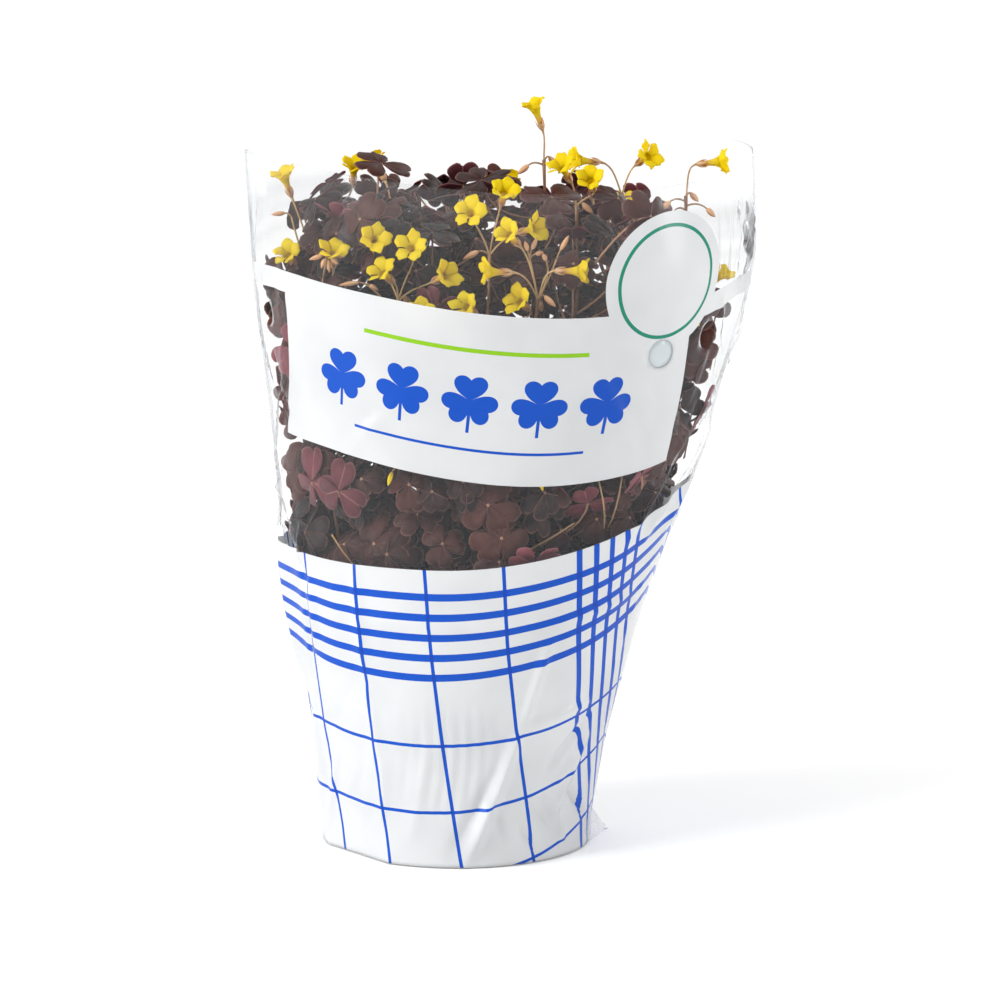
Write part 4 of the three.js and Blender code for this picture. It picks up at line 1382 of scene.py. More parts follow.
def punch_vents(theta, z):
    """Leaves out the faces in the vents, and draws the film's edge there onto each vent's circle."""
    arc = np.radians(theta) * mean_radius(z)
    middle_arc = face_middles(arc, math.tau * mean_radius(z[:, -1:]))
    middle_z = face_middles(z)
    keep = np.ones(middle_z.shape, bool)
    new_arc, new_z = arc.copy(), z.copy()
    for degrees, level in VENTS:
        centre, _ = place_on_sleeve(degrees + 360 if degrees < SEAM_LEFT else degrees, level)
        hole = np.hypot(middle_arc - centre, middle_z - level) < VENT_RADIUS
        keep &= ~hole
        edge = edge_of_hole(hole)
        away_arc, away_z = arc[edge] - centre, z[edge] - level
        scale = VENT_RADIUS / np.hypot(away_arc, away_z)
        new_arc[edge] = centre + away_arc * scale
        new_z[edge] = level + away_z * scale
    return np.degrees(new_arc / mean_radius(new_z)), new_z, keep


def film_faces(keep):
    """Faces of the outer skin, of the inner one, and of the film's edge round each opening."""
    rows, columns = keep.shape[0] + 1, keep.shape[1]
    count = rows * columns
    quads = wrapped_quads(rows, columns)[keep]
    open_edges = {}
    for quad in quads.tolist():
        for p, q in zip(quad, quad[1:] + quad[:1]):
            if open_edges.pop((q, p), None) is None:
                open_edges[(p, q)] = True
    walls = np.array([(q, p, p + count, q + count) for p, q in open_edges])
    return quads, quads[:, ::-1] + count, walls


def film_piece(outer_material, inner_material):
    """The sleeve: thin film with its vents, its folds, and a UV map for each of its two prints."""
    angles = film_angles()
    rise = np.linspace(0, 1, FILM_ROWS)[:, None]
    theta = np.broadcast_to(angles, (FILM_ROWS, len(angles)))
    theta, z, keep = punch_vents(theta, FILM_LOW_Z + (rim_z(angles) - FILM_LOW_Z) * rise)
    off = crumple(theta, z)
    skins = [film_points(theta, z, off), film_points(theta, z, off - FILM)]
    kinds_of_faces = film_faces(keep)
    every = np.concatenate(kinds_of_faces)
    used, faces = np.unique(every, return_inverse=True)
    points = np.concatenate([skin.reshape(-1, 3) for skin in skins])[used]
    materials = [outer_material, inner_material]
    mesh = new_mesh("film_sleeve", points, faces.reshape(every.shape).tolist(), materials)
    kinds = np.repeat((0, 1, 2), [len(kind) for kind in kinds_of_faces])
    mesh.polygons.foreach_set("use_smooth", kinds < 2)
    mesh.polygons.foreach_set("material_index", (kinds == 1).astype(np.int32))

    # The faces at the left weld join the last column to the first, a full turn on
    corner = every % theta.size
    column = corner % len(angles)
    crosses = (column == 0) & (column.max(1, keepdims=True) == len(angles) - 1)
    corner_theta = theta.ravel()[corner] + np.where(crosses, 360, 0)
    places = print_places(corner_theta, z.ravel()[corner])
    for name, place in zip(("check", "label"), places):
        layer = mesh.uv_layers.new(name=name)
        layer.data.foreach_set("uv", (place / PRINT_SCALE).astype(np.float32).ravel())
    mesh.update()
    return put("film_sleeve", mesh, ["sleeve"])


def seam_pieces(material, disc_material):
    """The welds at both sides, a loose corner of film at the right hem, and what is behind the vent."""
    make_piece("weld_left", weld_shape(SEAM_LEFT), [material])
    make_piece("weld_right", weld_shape(SEAM_RIGHT), [material])
    make_piece("hem_corner", hem_corner_shape(), [material])
    make_piece("vent_disc", vent_disc_shape(), [disc_material])


def weld_shape(angle):
    """A thin wavy fin that stands out of the sleeve, from above the check up to the rim."""
    shape = Shape()
    z = np.linspace(WELD_LOW_Z, float(rim_z(angle)) - 0.5, 90)
    theta = np.full_like(z, angle)
    off = crumple(theta, z)
    foot = film_points(theta, z, off - FILM / 2)
    wave = 0.5 * np.sin(z / 9.2) + 0.35 * np.sin(z / 4.3 + 1)
    out = film_points(theta, z, off + 0.9 + 0.2 * wave) - foot
    sway = np.stack([0 * z, 0.3 * wave, 0 * z], -1)
    rows = np.stack([foot, foot + out * 0.5, foot + out + sway], 1)
    thick = np.array((0, 0.07, 0))
    shape.add_slab(rows + thick, rows - thick)
    return shape


def vent_disc_shape():
    """What closes the label's vent from behind: the film's other ply, whose own vent lies elsewhere."""
    shape = Shape()
    degrees, level = DISC_VENT
    turn = round_angles(32)
    rings = []
    for radius, depth in DISC_RINGS:
        z = level + radius * np.sin(turn)
        theta = degrees + np.degrees(radius * np.cos(turn) / mean_radius(z))
        rings.append(film_points(theta, z, crumple(theta, z) - DISC_BEHIND - depth))
    shape.add_rings(rings, 0, smooth_ends=True)
    return shape


def hem_corner_shape():
    """A three-cornered flap where the weld ends above the hem, bent out and a little crumpled."""
    shape = Shape()
    t = np.linspace(0, 1, 9)[:, None]
    c = np.linspace(0, 1, 7)[None]
    top, low, tip = vector((47.6, -16, 17)), vector((47.2, -15.4, 1.2)), vector((55.2, -17.5, 7.0))
    edge = top + (low - top) * t[..., None]
    grid = edge + (tip - edge) * c[..., None] * (1 - 0.15 * (1 - t[..., None]))
    grid[..., 1] += 0.8 * np.sin(c * 5 + t * 4) * c * (1 - 0.4 * t)
    grid[..., 2] += 0.5 * np.sin(c * 7 + t * 9) * c
    thick = np.array((0.02, 0.07, 0.03))
    shape.add_slab(grid + thick, grid - thick)
    return shape


# Materials

# Leaf colours: darkest, lightest, midrib and rim
LEAF_TOP = ((0.012, 0.0065, 0.006), (0.078, 0.020, 0.013), (0.090, 0.028, 0.021), (0.20, 0.095, 0.070))
LEAF_UNDER = ((0.085, 0.018, 0.024), (0.24, 0.055, 0.072), (0.46, 0.22, 0.19), (0.32, 0.14, 0.13))
SEPAL = {
    "foot": (0.66, 0.36, 0.20),
    "tip": (0.60, 0.27, 0.13),
    "line": (0.34, 0.14, 0.07),
    "pale": (0.70, 0.50, 0.24),
}
PETAL = {
    "deep": (1.0, 0.76, 0.003),
    "bright": (1.0, 0.86, 0.008),
    "nerve": (0.96, 0.62, 0.003),
    "foot": (0.82, 0.44, 0.20),
    "pale": (1.0, 0.86, 0.05),
}
SOIL_DARK = (0.018, 0.010, 0.006)
SOIL_LIGHT = (0.095, 0.055, 0.032)
BLUE = (0.001, 0.078, 0.520)
BLUE_CROSSED = (0.001, 0.055, 0.440)
LABEL_GREEN = (0.270, 0.560, 0.012)
BADGE_GREEN = (0.010, 0.240, 0.150)
# The print's white, and a greyer white that is painted shade, for the shadows of leaves behind the film
PRINT_WHITE = (0.71, 0.725, 0.735)
PRINT_LEAF_SHADOW = (0.63, 0.645, 0.66)
WELD_WHITE = (0.86, 0.87, 0.88)
# How light spreads inside stalks and sepals
FLESH = {"subsurface_radius": (0.002, 0.001, 0.0005), "subsurface_scale": 1.0}
# The share of light that bare film sends back evenly, and the share that shines through print
FILM_WHITENESS = 0.026
PRINT_GLOW = {"check": 0.16, "label": 0.2}
# The check, in mm: height of its top edge, its broad stripes and its thin lines, and the same across
CHECK = {
    "top": 112.0,
    "stripes": (87.2, 7.45, 5, 2.7),
    "cross_lines": (21.2, 25.3, 3, 1.25),
    "repeat": 163.4,
    "stripes_across": (50.8, 6.9, 5, 2.3),
    "lines_across": (41.2, 68.4),
    "line": 1.3,
}
# The label and its badge, in mm. The ring has a radius and a width.
LABEL = {
    "left": -85,
    "right": 70,
    "low": 142.5,
    "high": 202.8,
    "band": 7.8,
    "band_ends": (-121.5, 118.5),
    "badge": (59, 212),
    "badge_radius": 25,
    "ring": (20, 1.3),
}
# The label's row of leaves, in mm: places, size, and the rules over and under it
MOTIF = {
    "pitch": 23.0,
    "count": 5,
    "middle": (-8.0, 171.5),
    "radius": 9.4,
    "stalk": (1.1, 11.5),
    "rule": (189.5, 1.5, 38),
    "low_rule": (154.0, 1.0, 40),
}
# Where the film is gathered beside the right weld, in the label's mm: arc, and height from and to; then the
# grey of the painted shade streaks there, and their greatest share
GATHER = {
    "arc": (78, 94),
    "low": (203, 209),
    "high": (234, 220),
    "shade": (0.34, 0.34, 0.35),
    "most": 0.65,
}


class Shader:
    """A material being wired up. Each method adds a node and gives back its output."""

    def __init__(self, name, owners=None, output="OutputMaterial"):
        owners = bpy.data.materials if owners is None else owners
        self.material = owners.new(name)
        self.material.use_nodes = True
        self.tree = self.material.node_tree
        self.tree.nodes.clear()
        self.output = self.tree.nodes.new("ShaderNode" + output)

    def feed(self, socket, value):
        if isinstance(value, bpy.types.NodeSocket):
            self.tree.links.new(value, socket)
        elif isinstance(value, tuple) and len(value) == 3 and socket.type == "RGBA":
            socket.default_value = (*value, 1)
        else:
            socket.default_value = value

    def node(self, kind, inputs=None, **settings):
        node = self.tree.nodes.new("ShaderNode" + kind)
        for key, value in settings.items():
            setattr(node, key, value)
        for key, value in (inputs or {}).items():
            self.feed(node.inputs[key], value)
        return node

    def math(self, operation, *values, clamp=False):
        inputs = dict(enumerate(values))
        return self.node("Math", inputs, operation=operation, use_clamp=clamp).outputs[0]

    def times(self, *values):
        return functools.reduce(lambda a, b: self.math("MULTIPLY", a, b), values)

    def plus(self, a, b, clamp=False):
        return self.math("ADD", a, b, clamp=clamp)

    def minus(self, a, b, clamp=False):
        return self.math("SUBTRACT", a, b, clamp=clamp)

    def below(self, a, b):
        return self.math("LESS_THAN", a, b)

    def size(self, value):
        return self.math("ABSOLUTE", value)

    def mix(self, factor, a, b):
        node = self.node("Mix", data_type="RGBA")
        self.feed(node.inputs["Factor"], factor)
        self.feed(node.inputs[6], a)
        self.feed(node.inputs[7], b)
        return node.outputs[2]

    def blend(self, factor, a, b):
        return self.node("MixShader", {0: factor, 1: a, 2: b}).outputs[0]

    def skin(self, colour, roughness, specular=0.5, **others):
        """A Principled surface. Its other inputs go by name, with _ for a space, as in sheen_weight."""
        inputs = {"Base Color": colour, "Roughness": roughness, "Specular IOR Level": specular}
        inputs.update({key.replace("_", " ").title(): value for key, value in others.items()})
        return self.node("BsdfPrincipled", inputs).outputs[0]

    def plain(self, kind, colour):
        """A surface that takes a colour alone, such as a Diffuse one."""
        return self.node("Bsdf" + kind, {"Color": colour}).outputs[0]

    def noise(self, scale, detail=3.0, coordinates=None, roughness=0.5):
        inputs = {"Scale": scale, "Detail": detail, "Roughness": roughness}
        if coordinates is not None:
            inputs["Vector"] = coordinates
        return self.node("TexNoise", inputs).outputs["Fac"]

    def object_place(self):
        return self.node("TexCoord").outputs["Object"]

    def split_uv(self, name):
        uv = self.node("UVMap", uv_map=name).outputs[0]
        parts = self.node("SeparateXYZ", {0: uv})
        return parts.outputs[0], parts.outputs[1]

    def mark(self, name):
        return self.node("Attribute", attribute_name=name).outputs["Fac"]

    def step(self, low, high, value):
        node = self.node("MapRange", {"Value": value, "From Min": low, "From Max": high}, clamp=True)
        return node.outputs[0]

    def bump(self, height, strength, distance):
        return self.node("Bump", {"Height": height, "Strength": strength, "Distance": distance}).outputs[0]

    def finish(self, surface):
        self.tree.links.new(surface, self.output.inputs["Surface"])
        return self.material


def leaf_material(name, dark, light, rib, rim, roughness):
    """A leaf blade: colour by leaf, mottled, with a midrib and a fine paler rim."""
    s = Shader(name)
    _, y = s.split_uv("place")
    mottle = s.noise(130, 1, s.object_place())
    shade = s.plus(s.times(s.mark("tone"), 0.7), s.times(mottle, 0.5))
    colour = s.mix(s.step(0.25, 1.0, shade), dark, light)
    ribbed = s.step(0.020, 0.004, s.size(s.minus(y, 0.5)))
    colour = s.mix(s.times(ribbed, 0.7), colour, rib)
    colour = s.mix(s.times(s.step(0.93, 0.99, s.mark("edge")), 0.75), colour, rim)
    relief = s.bump(s.minus(s.times(mottle, 0.3), ribbed), 0.12, 0.0003)
    body = s.skin(colour, roughness, 0.2, sheen_weight=0.04, normal=relief)
    return s.finish(s.blend(0.12, body, s.plain("Translucent", rib)))


def stalk_material(name, dark, light):
    """A stalk's or stem's skin: streaked, and lighter where its tone is."""
    s = Shader(name)
    place = s.object_place()
    shade = s.plus(s.times(s.mark("tone"), 0.75), s.times(s.noise(90, 4, place), 0.4))
    colour = s.mix(s.step(0.15, 1.0, shade), dark, light)
    grain = s.bump(s.noise(700, 2, place), 0.25, 0.0003)
    return s.finish(s.skin(colour, 0.45, 0.3, subsurface_weight=0.15, **FLESH, normal=grain))


def sepal_material():
    """Pinkish tan, redder towards the tip, with fine lines along it."""
    s = Shader("sepal")
    x, y = s.split_uv("place")
    colour = s.mix(s.step(0.1, 0.9, x), SEPAL["foot"], SEPAL["tip"])
    lines = s.step(0.6, 1.0, s.math("SINE", s.times(y, 60)))
    colour = s.mix(s.times(lines, 0.45), colour, SEPAL["line"])
    colour = s.mix(s.times(s.noise(160, 3, s.object_place()), 0.45), colour, SEPAL["pale"])
    return s.finish(s.skin(colour, 0.5, subsurface_weight=0.2, **FLESH))


def petal_material():
    """Clear yellow, tan-pink at the foot of the tube, with fine nerves that fade towards the tips."""
    s = Shader("petal")
    x, y = s.split_uv("place")
    soft = s.noise(140, 3, s.object_place())
    colour = s.mix(s.times(soft, 0.9), PETAL["deep"], PETAL["bright"])
    nerves = s.step(0.55, 1.0, s.math("SINE", s.times(s.minus(y, 0.5), 95)))
    colour = s.mix(s.times(nerves, s.step(1.0, 0.5, x), 0.2), colour, PETAL["nerve"])
    colour = s.mix(s.times(s.step(0.42, -0.05, x), 0.9), colour, PETAL["foot"])
    colour = s.mix(s.times(s.mark("tone"), 0.25), colour, PETAL["pale"])
    body = s.skin(colour, 0.5, 0.2, normal=s.bump(nerves, 0.3, 0.0002))
    return s.finish(s.blend(0.5, body, s.plain("Translucent", colour)))


def soil_material():
    s = Shader("soil")
    place = s.object_place()
    colour = s.mix(s.step(0.3, 0.7, s.noise(60, 6, place, 0.65)), SOIL_DARK, SOIL_LIGHT)
    crumb = s.bump(s.noise(400, 5, place), 0.9, 0.001)
    return s.finish(s.skin(colour, 0.95, 0.1, normal=crumb))


def perlite_material():
    s = Shader("perlite")
    colour = s.mix(s.noise(500, 3, s.object_place()), (0.55, 0.52, 0.46), (0.86, 0.84, 0.80))
    return s.finish(s.skin(colour, 0.85))


def pot_material():
    s = Shader("pot_plastic")
    place = s.object_place()
    scuff = s.noise(35, 6, place, 0.6)
    colour = s.mix(s.step(0.35, 0.75, scuff), (0.022, 0.020, 0.019), (0.050, 0.044, 0.040))
    grain = s.bump(s.noise(900, 2, place), 0.2, 0.0002)
    return s.finish(s.skin(colour, s.step(0.2, 1.4, scuff), 0.4, normal=grain))


class Print:
    """The printed pattern as masks over a shader's places, in mm."""

    def __init__(self, shader):
        self.s = shader

    def places(self, name):
        x, y = self.s.split_uv(name)
        return self.s.times(x, PRINT_SCALE), self.s.times(y, PRINT_SCALE)

    def away(self, value, centre):
        return self.s.size(self.s.minus(value, centre))

    def within(self, value, low, high):
        return self.s.below(self.away(value, (low + high) / 2), (high - low) / 2)

    def line(self, value, centre, width):
        return self.s.below(self.away(value, centre), width / 2)

    def off_nearest(self, value, centre, pitch):
        """In steps of a pitch: how far a value is from the centre, and from the nearest whole step."""
        steps = self.s.math("DIVIDE", self.s.minus(value, centre), pitch)
        return steps, self.s.minus(steps, self.s.math("ROUND", steps))

    def comb(self, value, centre, pitch, count, width):
        """Equal lines side by side, an odd number of them round the centre."""
        steps, off = self.off_nearest(value, centre, pitch)
        lines = self.s.below(self.s.size(off), width / 2 / pitch)
        return self.s.times(lines, self.s.below(self.s.size(steps), count / 2))

    def distance(self, x, y):
        return self.s.math("SQRT", self.s.plus(self.s.times(x, x), self.s.times(y, y)))

    def any(self, *masks):
        return functools.reduce(lambda a, b: self.s.math("MAXIMUM", a, b), masks)


def check_lines(p, u, v):
    """The check's lines: those that run round the sleeve, and those that run up it."""
    rows = p.any(p.comb(v, *CHECK["stripes"]), p.comb(v, *CHECK["cross_lines"]))
    middle, pitch, count, width = CHECK["stripes_across"]
    half = CHECK["repeat"] / 2
    wrapped = p.s.math("WRAP", p.s.minus(u, middle), half, -half)
    columns = p.comb(wrapped, 0, pitch, count, width)
    for place in CHECK["lines_across"]:
        columns = p.any(columns, p.line(p.s.size(wrapped), place, CHECK["line"]))
    return rows, columns


def label_panel(p, lu, lv):
    """The label's white panel with the white band along its top."""
    low, high = LABEL["low"], LABEL["high"]
    panel = p.s.times(p.within(lu, LABEL["left"], LABEL["right"]), p.within(lv, low, high))
    band = p.s.times(p.within(lv, high - LABEL["band"], high), p.within(lu, *LABEL["band_ends"]))
    return p.any(panel, band)


def film_material():
    """Clear glossy film that carries a white print with a blue tea-towel check, a label and a badge."""
    s = Shader("film_printed")
    p = Print(s)
    u, v = p.places("check")
    lu, lv = p.places("label")
    rows, columns = check_lines(p, u, v)
    motif, green_rule = label_motif(p, lu, lv)
    badge_u, badge_v = LABEL["badge"]
    from_badge = p.distance(s.minus(lu, badge_u), s.minus(lv, badge_v))
    check_white = s.below(v, CHECK["top"])
    white = p.any(check_white, label_panel(p, lu, lv), s.below(from_badge, LABEL["badge_radius"]))

    # Painted shade: the white print is greyed in soft blotches all over, for the shadows of leaves seen
    # through it
    leaf_shadow_blotch = s.step(0.4, 0.75, s.noise(32, 2, s.object_place()))
    colour = s.mix(leaf_shadow_blotch, PRINT_WHITE, PRINT_LEAF_SHADOW)
    inks = [
        (s.times(p.any(rows, columns), check_white), BLUE),
        (s.times(rows, columns, check_white), BLUE_CROSSED),
        (motif, BLUE),
        (green_rule, LABEL_GREEN),
        (p.line(from_badge, *LABEL["ring"]), BADGE_GREEN),
    ]
    for mask, ink in inks:
        colour = s.mix(mask, colour, ink)

    place = s.object_place()
    ripple = s.noise(55, 3, place)
    bumps = s.bump(s.plus(ripple, s.times(s.noise(260, 2, place), 0.12)), 0.3, 0.0012)
    clear = clear_film(s, bumps, ripple)
    # Painted shade: grey see-through streaks on the gathered film beside the right weld
    clear = s.blend(painted_crease_shade(s, lu, lv), clear, s.plain("Transparent", GATHER["shade"]))
    more_glow = s.times(s.minus(1, check_white), PRINT_GLOW["label"] - PRINT_GLOW["check"])
    glowing = s.plus(more_glow, PRINT_GLOW["check"])
    body = s.skin(colour, 0.16, 0.25, normal=bumps)
    printed = s.blend(glowing, body, s.plain("Translucent", colour))
    return s.finish(s.blend(white, clear, printed))


def painted_crease_shade(s, lu, lv):
    """Painted shade: narrow upright grey streaks, close together, on the film where it is gathered and
    creased.
    """
    stretched = s.node("CombineXYZ", {0: s.times(lu, 0.34), 1: s.times(lv, 0.035)})
    shade_streaks = s.step(0.48, 0.64, s.noise(1.0, 2, stretched.outputs[0]))
    inside = s.times(s.step(*GATHER["arc"], lu), s.step(*GATHER["low"], lv), s.step(*GATHER["high"], lv))
    return s.times(shade_streaks, inside, GATHER["most"])


def clear_film(s, bumps, ripple):
    """Bare film: see-through, cloudy in patches, faintly white all over, a mirror where it turns away. Above
    195 mm the cloud is stronger, a painted reflection of the sky.
    """
    facing = s.node("LayerWeight", {"Blend": 0.5, "Normal": bumps}).outputs["Facing"]
    shine = s.plus(s.times(s.math("POWER", facing, 6), 0.9), 0.01, clamp=True)
    gloss = s.node("BsdfGlossy", {"Color": (0.94, 0.97, 1), "Roughness": 0.07, "Normal": bumps})
    height = s.node("SeparateXYZ", {0: s.object_place()}).outputs[2]
    patches = s.step(0.4, 0.75, s.noise(24, 2, s.object_place()))
    # Partly haze and partly painted reflection: the cloud is stronger above 195 mm, for the sky that the
    # film's upper part reflects
    sky_reflection_above = s.plus(s.times(s.step(0.195, 0.25, height), 0.8), 0.45)
    cloud = s.plus(s.times(patches, sky_reflection_above, 0.075), s.times(s.step(0.5, 0.9, ripple), 0.03))
    film = s.plain("Transparent", (0.985, 0.985, 0.985))
    film = s.blend(cloud, film, s.plain("Translucent", (0.82, 0.88, 0.95)))
    film = s.blend(FILM_WHITENESS, film, s.plain("Diffuse", (0.86, 0.91, 0.96)))
    return s.blend(shine, film, gloss.outputs[0])


def film_inside_material():
    """The film's inner skin: the outer one carries its shine and its print."""
    s = Shader("film_inside")
    cloud = s.times(s.step(0.5, 0.9, s.noise(80, 3, s.object_place())), 0.012)
    through = s.plain("Transparent", (0.99, 0.99, 0.99))
    return s.finish(s.blend(cloud, through, s.plain("Translucent", (0.9, 0.9, 0.9))))


def film_edge_material():
    """Bare film that lies double, at the welds: brighter and less clear."""
    s = Shader("film_weld")
    place = s.object_place()
    ripple = s.noise(70, 3, place)
    clear = clear_film(s, s.bump(s.noise(300, 3, place), 0.6, 0.001), ripple)
    milky = s.blend(0.5, s.plain("Diffuse", WELD_WHITE), s.plain("Translucent", WELD_WHITE))
    return s.finish(s.blend(s.times(ripple, 0.5), clear, milky))


def disc_material():
    """White print seen in shade: a cool pale grey, a little uneven."""
    s = Shader("film_disc")
    colour = s.mix(s.noise(120, 3, s.object_place()), (0.46, 0.51, 0.53), (0.53, 0.58, 0.60))
    return s.finish(s.skin(colour, 0.25))


def label_motif(p, lu, lv):
    """A plain row of three-leaflet leaves between two thin rules: nothing that reads as a word or mark."""
    s = p.s
    middle_u, middle_v = MOTIF["middle"]
    steps, off = p.off_nearest(lu, middle_u, MOTIF["pitch"])
    inside = s.below(s.size(steps), MOTIF["count"] / 2)
    aside = s.times(off, MOTIF["pitch"])
    rise = s.minus(lv, middle_v)
    # Each leaflet fills a third of a turn. turned is the share of the way from its midrib to its side.
    sixth = math.tau / 6
    angle = s.minus(s.math("ARCTAN2", rise, aside), math.pi / 2)
    turned = s.math("DIVIDE", s.size(s.math("WRAP", angle, sixth, -sixth)), sixth)
    lobe = s.times(s.math("POWER", s.minus(turned, 0.42), 2), -1.25)
    slit = s.math("SQRT", s.minus(1, s.math("POWER", turned, 9), clamp=True))
    leaf = s.below(p.distance(aside, rise), s.times(s.plus(lobe, 1), slit, MOTIF["radius"]))
    width, length = MOTIF["stalk"]
    stalk = s.times(p.line(aside, 0, width), p.within(rise, -length, 0))
    leaves = s.times(p.any(leaf, stalk), inside)
    rules = []
    for height, thickness, half in (MOTIF["rule"], MOTIF["low_rule"]):
        rules.append(s.times(p.line(lv, height, thickness), p.within(lu, middle_u - half, middle_u + half)))
    return p.any(leaves, rules[1]), rules[0]


# Pot and soil

# The floor's outline starts round a small hole, which a plug fills
POT_HUB = 0.6
POT_PLUG_RADIUS = 0.8
CROWN_ROWS = 34
CLOD = {
    "count": 420,
    "seed": 4411,
    "rings": 5,
    "sides": 7,
    "radius": (0.7, 2.0),
    "white_radius": (0.6, 1.3),
    "white_each": 7,
}


def lathe_shape(profile, sides):
    """A closed body turned round +Z. The profile is a closed outline, anticlockwise in (radius, z)."""
    shape = Shape()
    rings = [circle(radius, z, round_angles(sides)) for radius, z in profile]
    faces = wrapped_quads(len(rings) + 1, sides).reshape(-1, 4) % (len(rings) * sides)
    shape.add(rings, faces.tolist(), [0] * len(faces), [True] * len(faces))
    return shape


def pot_inner_radius(z):
    return mix(POT["base_radius"], POT["shoulder_radius"], z / POT["shoulder_z"]) - POT["wall"]


def pot_profile():
    """The pot's floor, tapered wall and stepped, rounded rim as (radius, height), for a lathe."""
    base, wall, floor, height = POT["base_radius"], POT["wall"], POT["floor"], POT["height"]
    rim, shoulder_z, inner = POT["rim_radius"], POT["shoulder_z"], pot_inner_radius
    profile = [(POT_HUB, 0.0), (base - 5, 0), (base - 4.4, 0.5), (base - 3.6, 0.5), (base - 3, 0)]
    profile += [(base - 0.7, 0), (base, 0.7)] + [(inner(z) + wall, z) for z in (30, 60, 84)]
    profile += [(inner(88.5) + wall + 0.3, 89), (rim - wall, 89.6), (rim - wall, shoulder_z + 0.2)]
    profile += [(rim - wall + 0.25, shoulder_z), (rim - 0.25, shoulder_z), (rim, shoulder_z + 0.3)]
    profile += [(rim, height - 0.9), (rim - 0.3, height - 0.25), (rim - 1.0, height)]
    profile += [(inner(height) + 0.9, height), (inner(height) + 0.2, height - 0.3)]
    profile += [(inner(z), z) for z in (88, 60, 30, 3)]
    return profile + [(inner(2) - 1, floor), (POT_HUB, floor)]


def pot_piece(material):
    """The nursery pot, turned on a lathe, with drain holes cut in its floor."""
    shape = lathe_shape(pot_profile(), 120)
    # The hub's small hole is closed by a plug of the floor's own thickness
    shape.add_tube([(0, 0, 0.0), (0, 0, POT["floor"])], POT_PLUG_RADIUS, 12, 0)
    piece = make_piece("nursery_pot", shape, [material], ["pot"])
    drains = Shape()
    for i in range(POT["drain_count"]):
        angle = (i + 0.5) / POT["drain_count"] * math.tau
        x, y = POT["drain_ring"] * math.cos(angle), POT["drain_ring"] * math.sin(angle)
        drains.add_tube([(x, y, -1), (x, y, POT["floor"] + 1)], POT["drain_radius"], 24, 0)
    cut_away(piece, drains)


def cut_away(piece, shape):
    """Cuts a shape's closed bodies out of a piece, and leaves no modifier or cutter behind."""
    cutter = new_object("cutter", new_mesh("cutter", np.concatenate(shape.points), shape.faces, []))
    modifier = piece.modifiers.new("cut", "BOOLEAN")
    modifier.operation = "DIFFERENCE"
    modifier.solver = "EXACT"
    modifier.object = cutter
    graph = bpy.context.evaluated_depsgraph_get()
    cut = bpy.data.meshes.new_from_object(piece.evaluated_get(graph))
    piece.modifiers.clear()
    piece.data = cut
    bpy.data.objects.remove(cutter)


def lump(x, y):
    """The soil's unevenness, in mm, from a few waves that cross."""
    waves = np.sin(x / 3.1 + 1.7 * np.sin(y / 7.7)) * np.sin(y / 2.7 + 1.3 * np.sin(x / 6.1))
    slow = np.sin(x / 13 + 0.6) * np.sin(y / 11 - 0.9)
    return 0.55 * waves + 0.9 * slow


def crown_z(radius, edge):
    """The height of the soil's smooth crown."""
    return mix(SOIL["crown_z"], SOIL["edge_z"], (radius / edge) ** 2)


def add_clod(shape, centre, radius, slot, random):
    """A small rough lump with a few dozen flat faces."""
    rings = []
    for r in range(CLOD["rings"]):
        polar = mix(0.25, math.pi - 0.25, r / (CLOD["rings"] - 1))
        sizes = radius * np.array([mix(0.75, 1.2, random()) for _ in range(CLOD["sides"])])
        turned = round_angles(CLOD["sides"]) + 0.4 * r
        rings.append(centre + circle(sizes * math.sin(polar), -sizes * math.cos(polar), turned))
    shape.add_rings(rings, slot, smooth=False)


def soil_piece(materials):
    """Potting mix with an uneven crown, loose clods and white specks of perlite."""
    shape = Shape()
    low_z = POT["floor"] + CLEARANCE
    edge = pot_inner_radius(SOIL["edge_z"]) - CLEARANCE
    angles = round_angles(96)
    rings = [circle(pot_inner_radius(low_z) - CLEARANCE, low_z, angles)]
    rings.append(circle(edge, SOIL["edge_z"] - 0.5, angles))
    for r in range(CROWN_ROWS):
        radius = edge * (1 - (r + 0.4) / CROWN_ROWS) ** 0.9
        uneven = lump(radius * np.cos(angles), radius * np.sin(angles)) * smooth_step(0, 6, edge - radius)
        rings.append(circle(radius, crown_z(radius, edge) + uneven, angles))
    shape.add_rings(rings, 0)
    random = random_source(CLOD["seed"])
    for i in range(CLOD["count"]):
        radius, angle = edge * 0.97 * math.sqrt(random()), random() * math.tau
        x, y = radius * math.cos(angle), radius * math.sin(angle)
        white = i % CLOD["white_each"] == 0
        size = mix(*CLOD["white_radius" if white else "radius"], random())
        place = np.array((x, y, crown_z(radius, edge) + lump(x, y) + 0.3))
        add_clod(shape, place, size, int(white), random)
    make_piece("potting_soil", shape, materials, ["soil"])


# The assembly


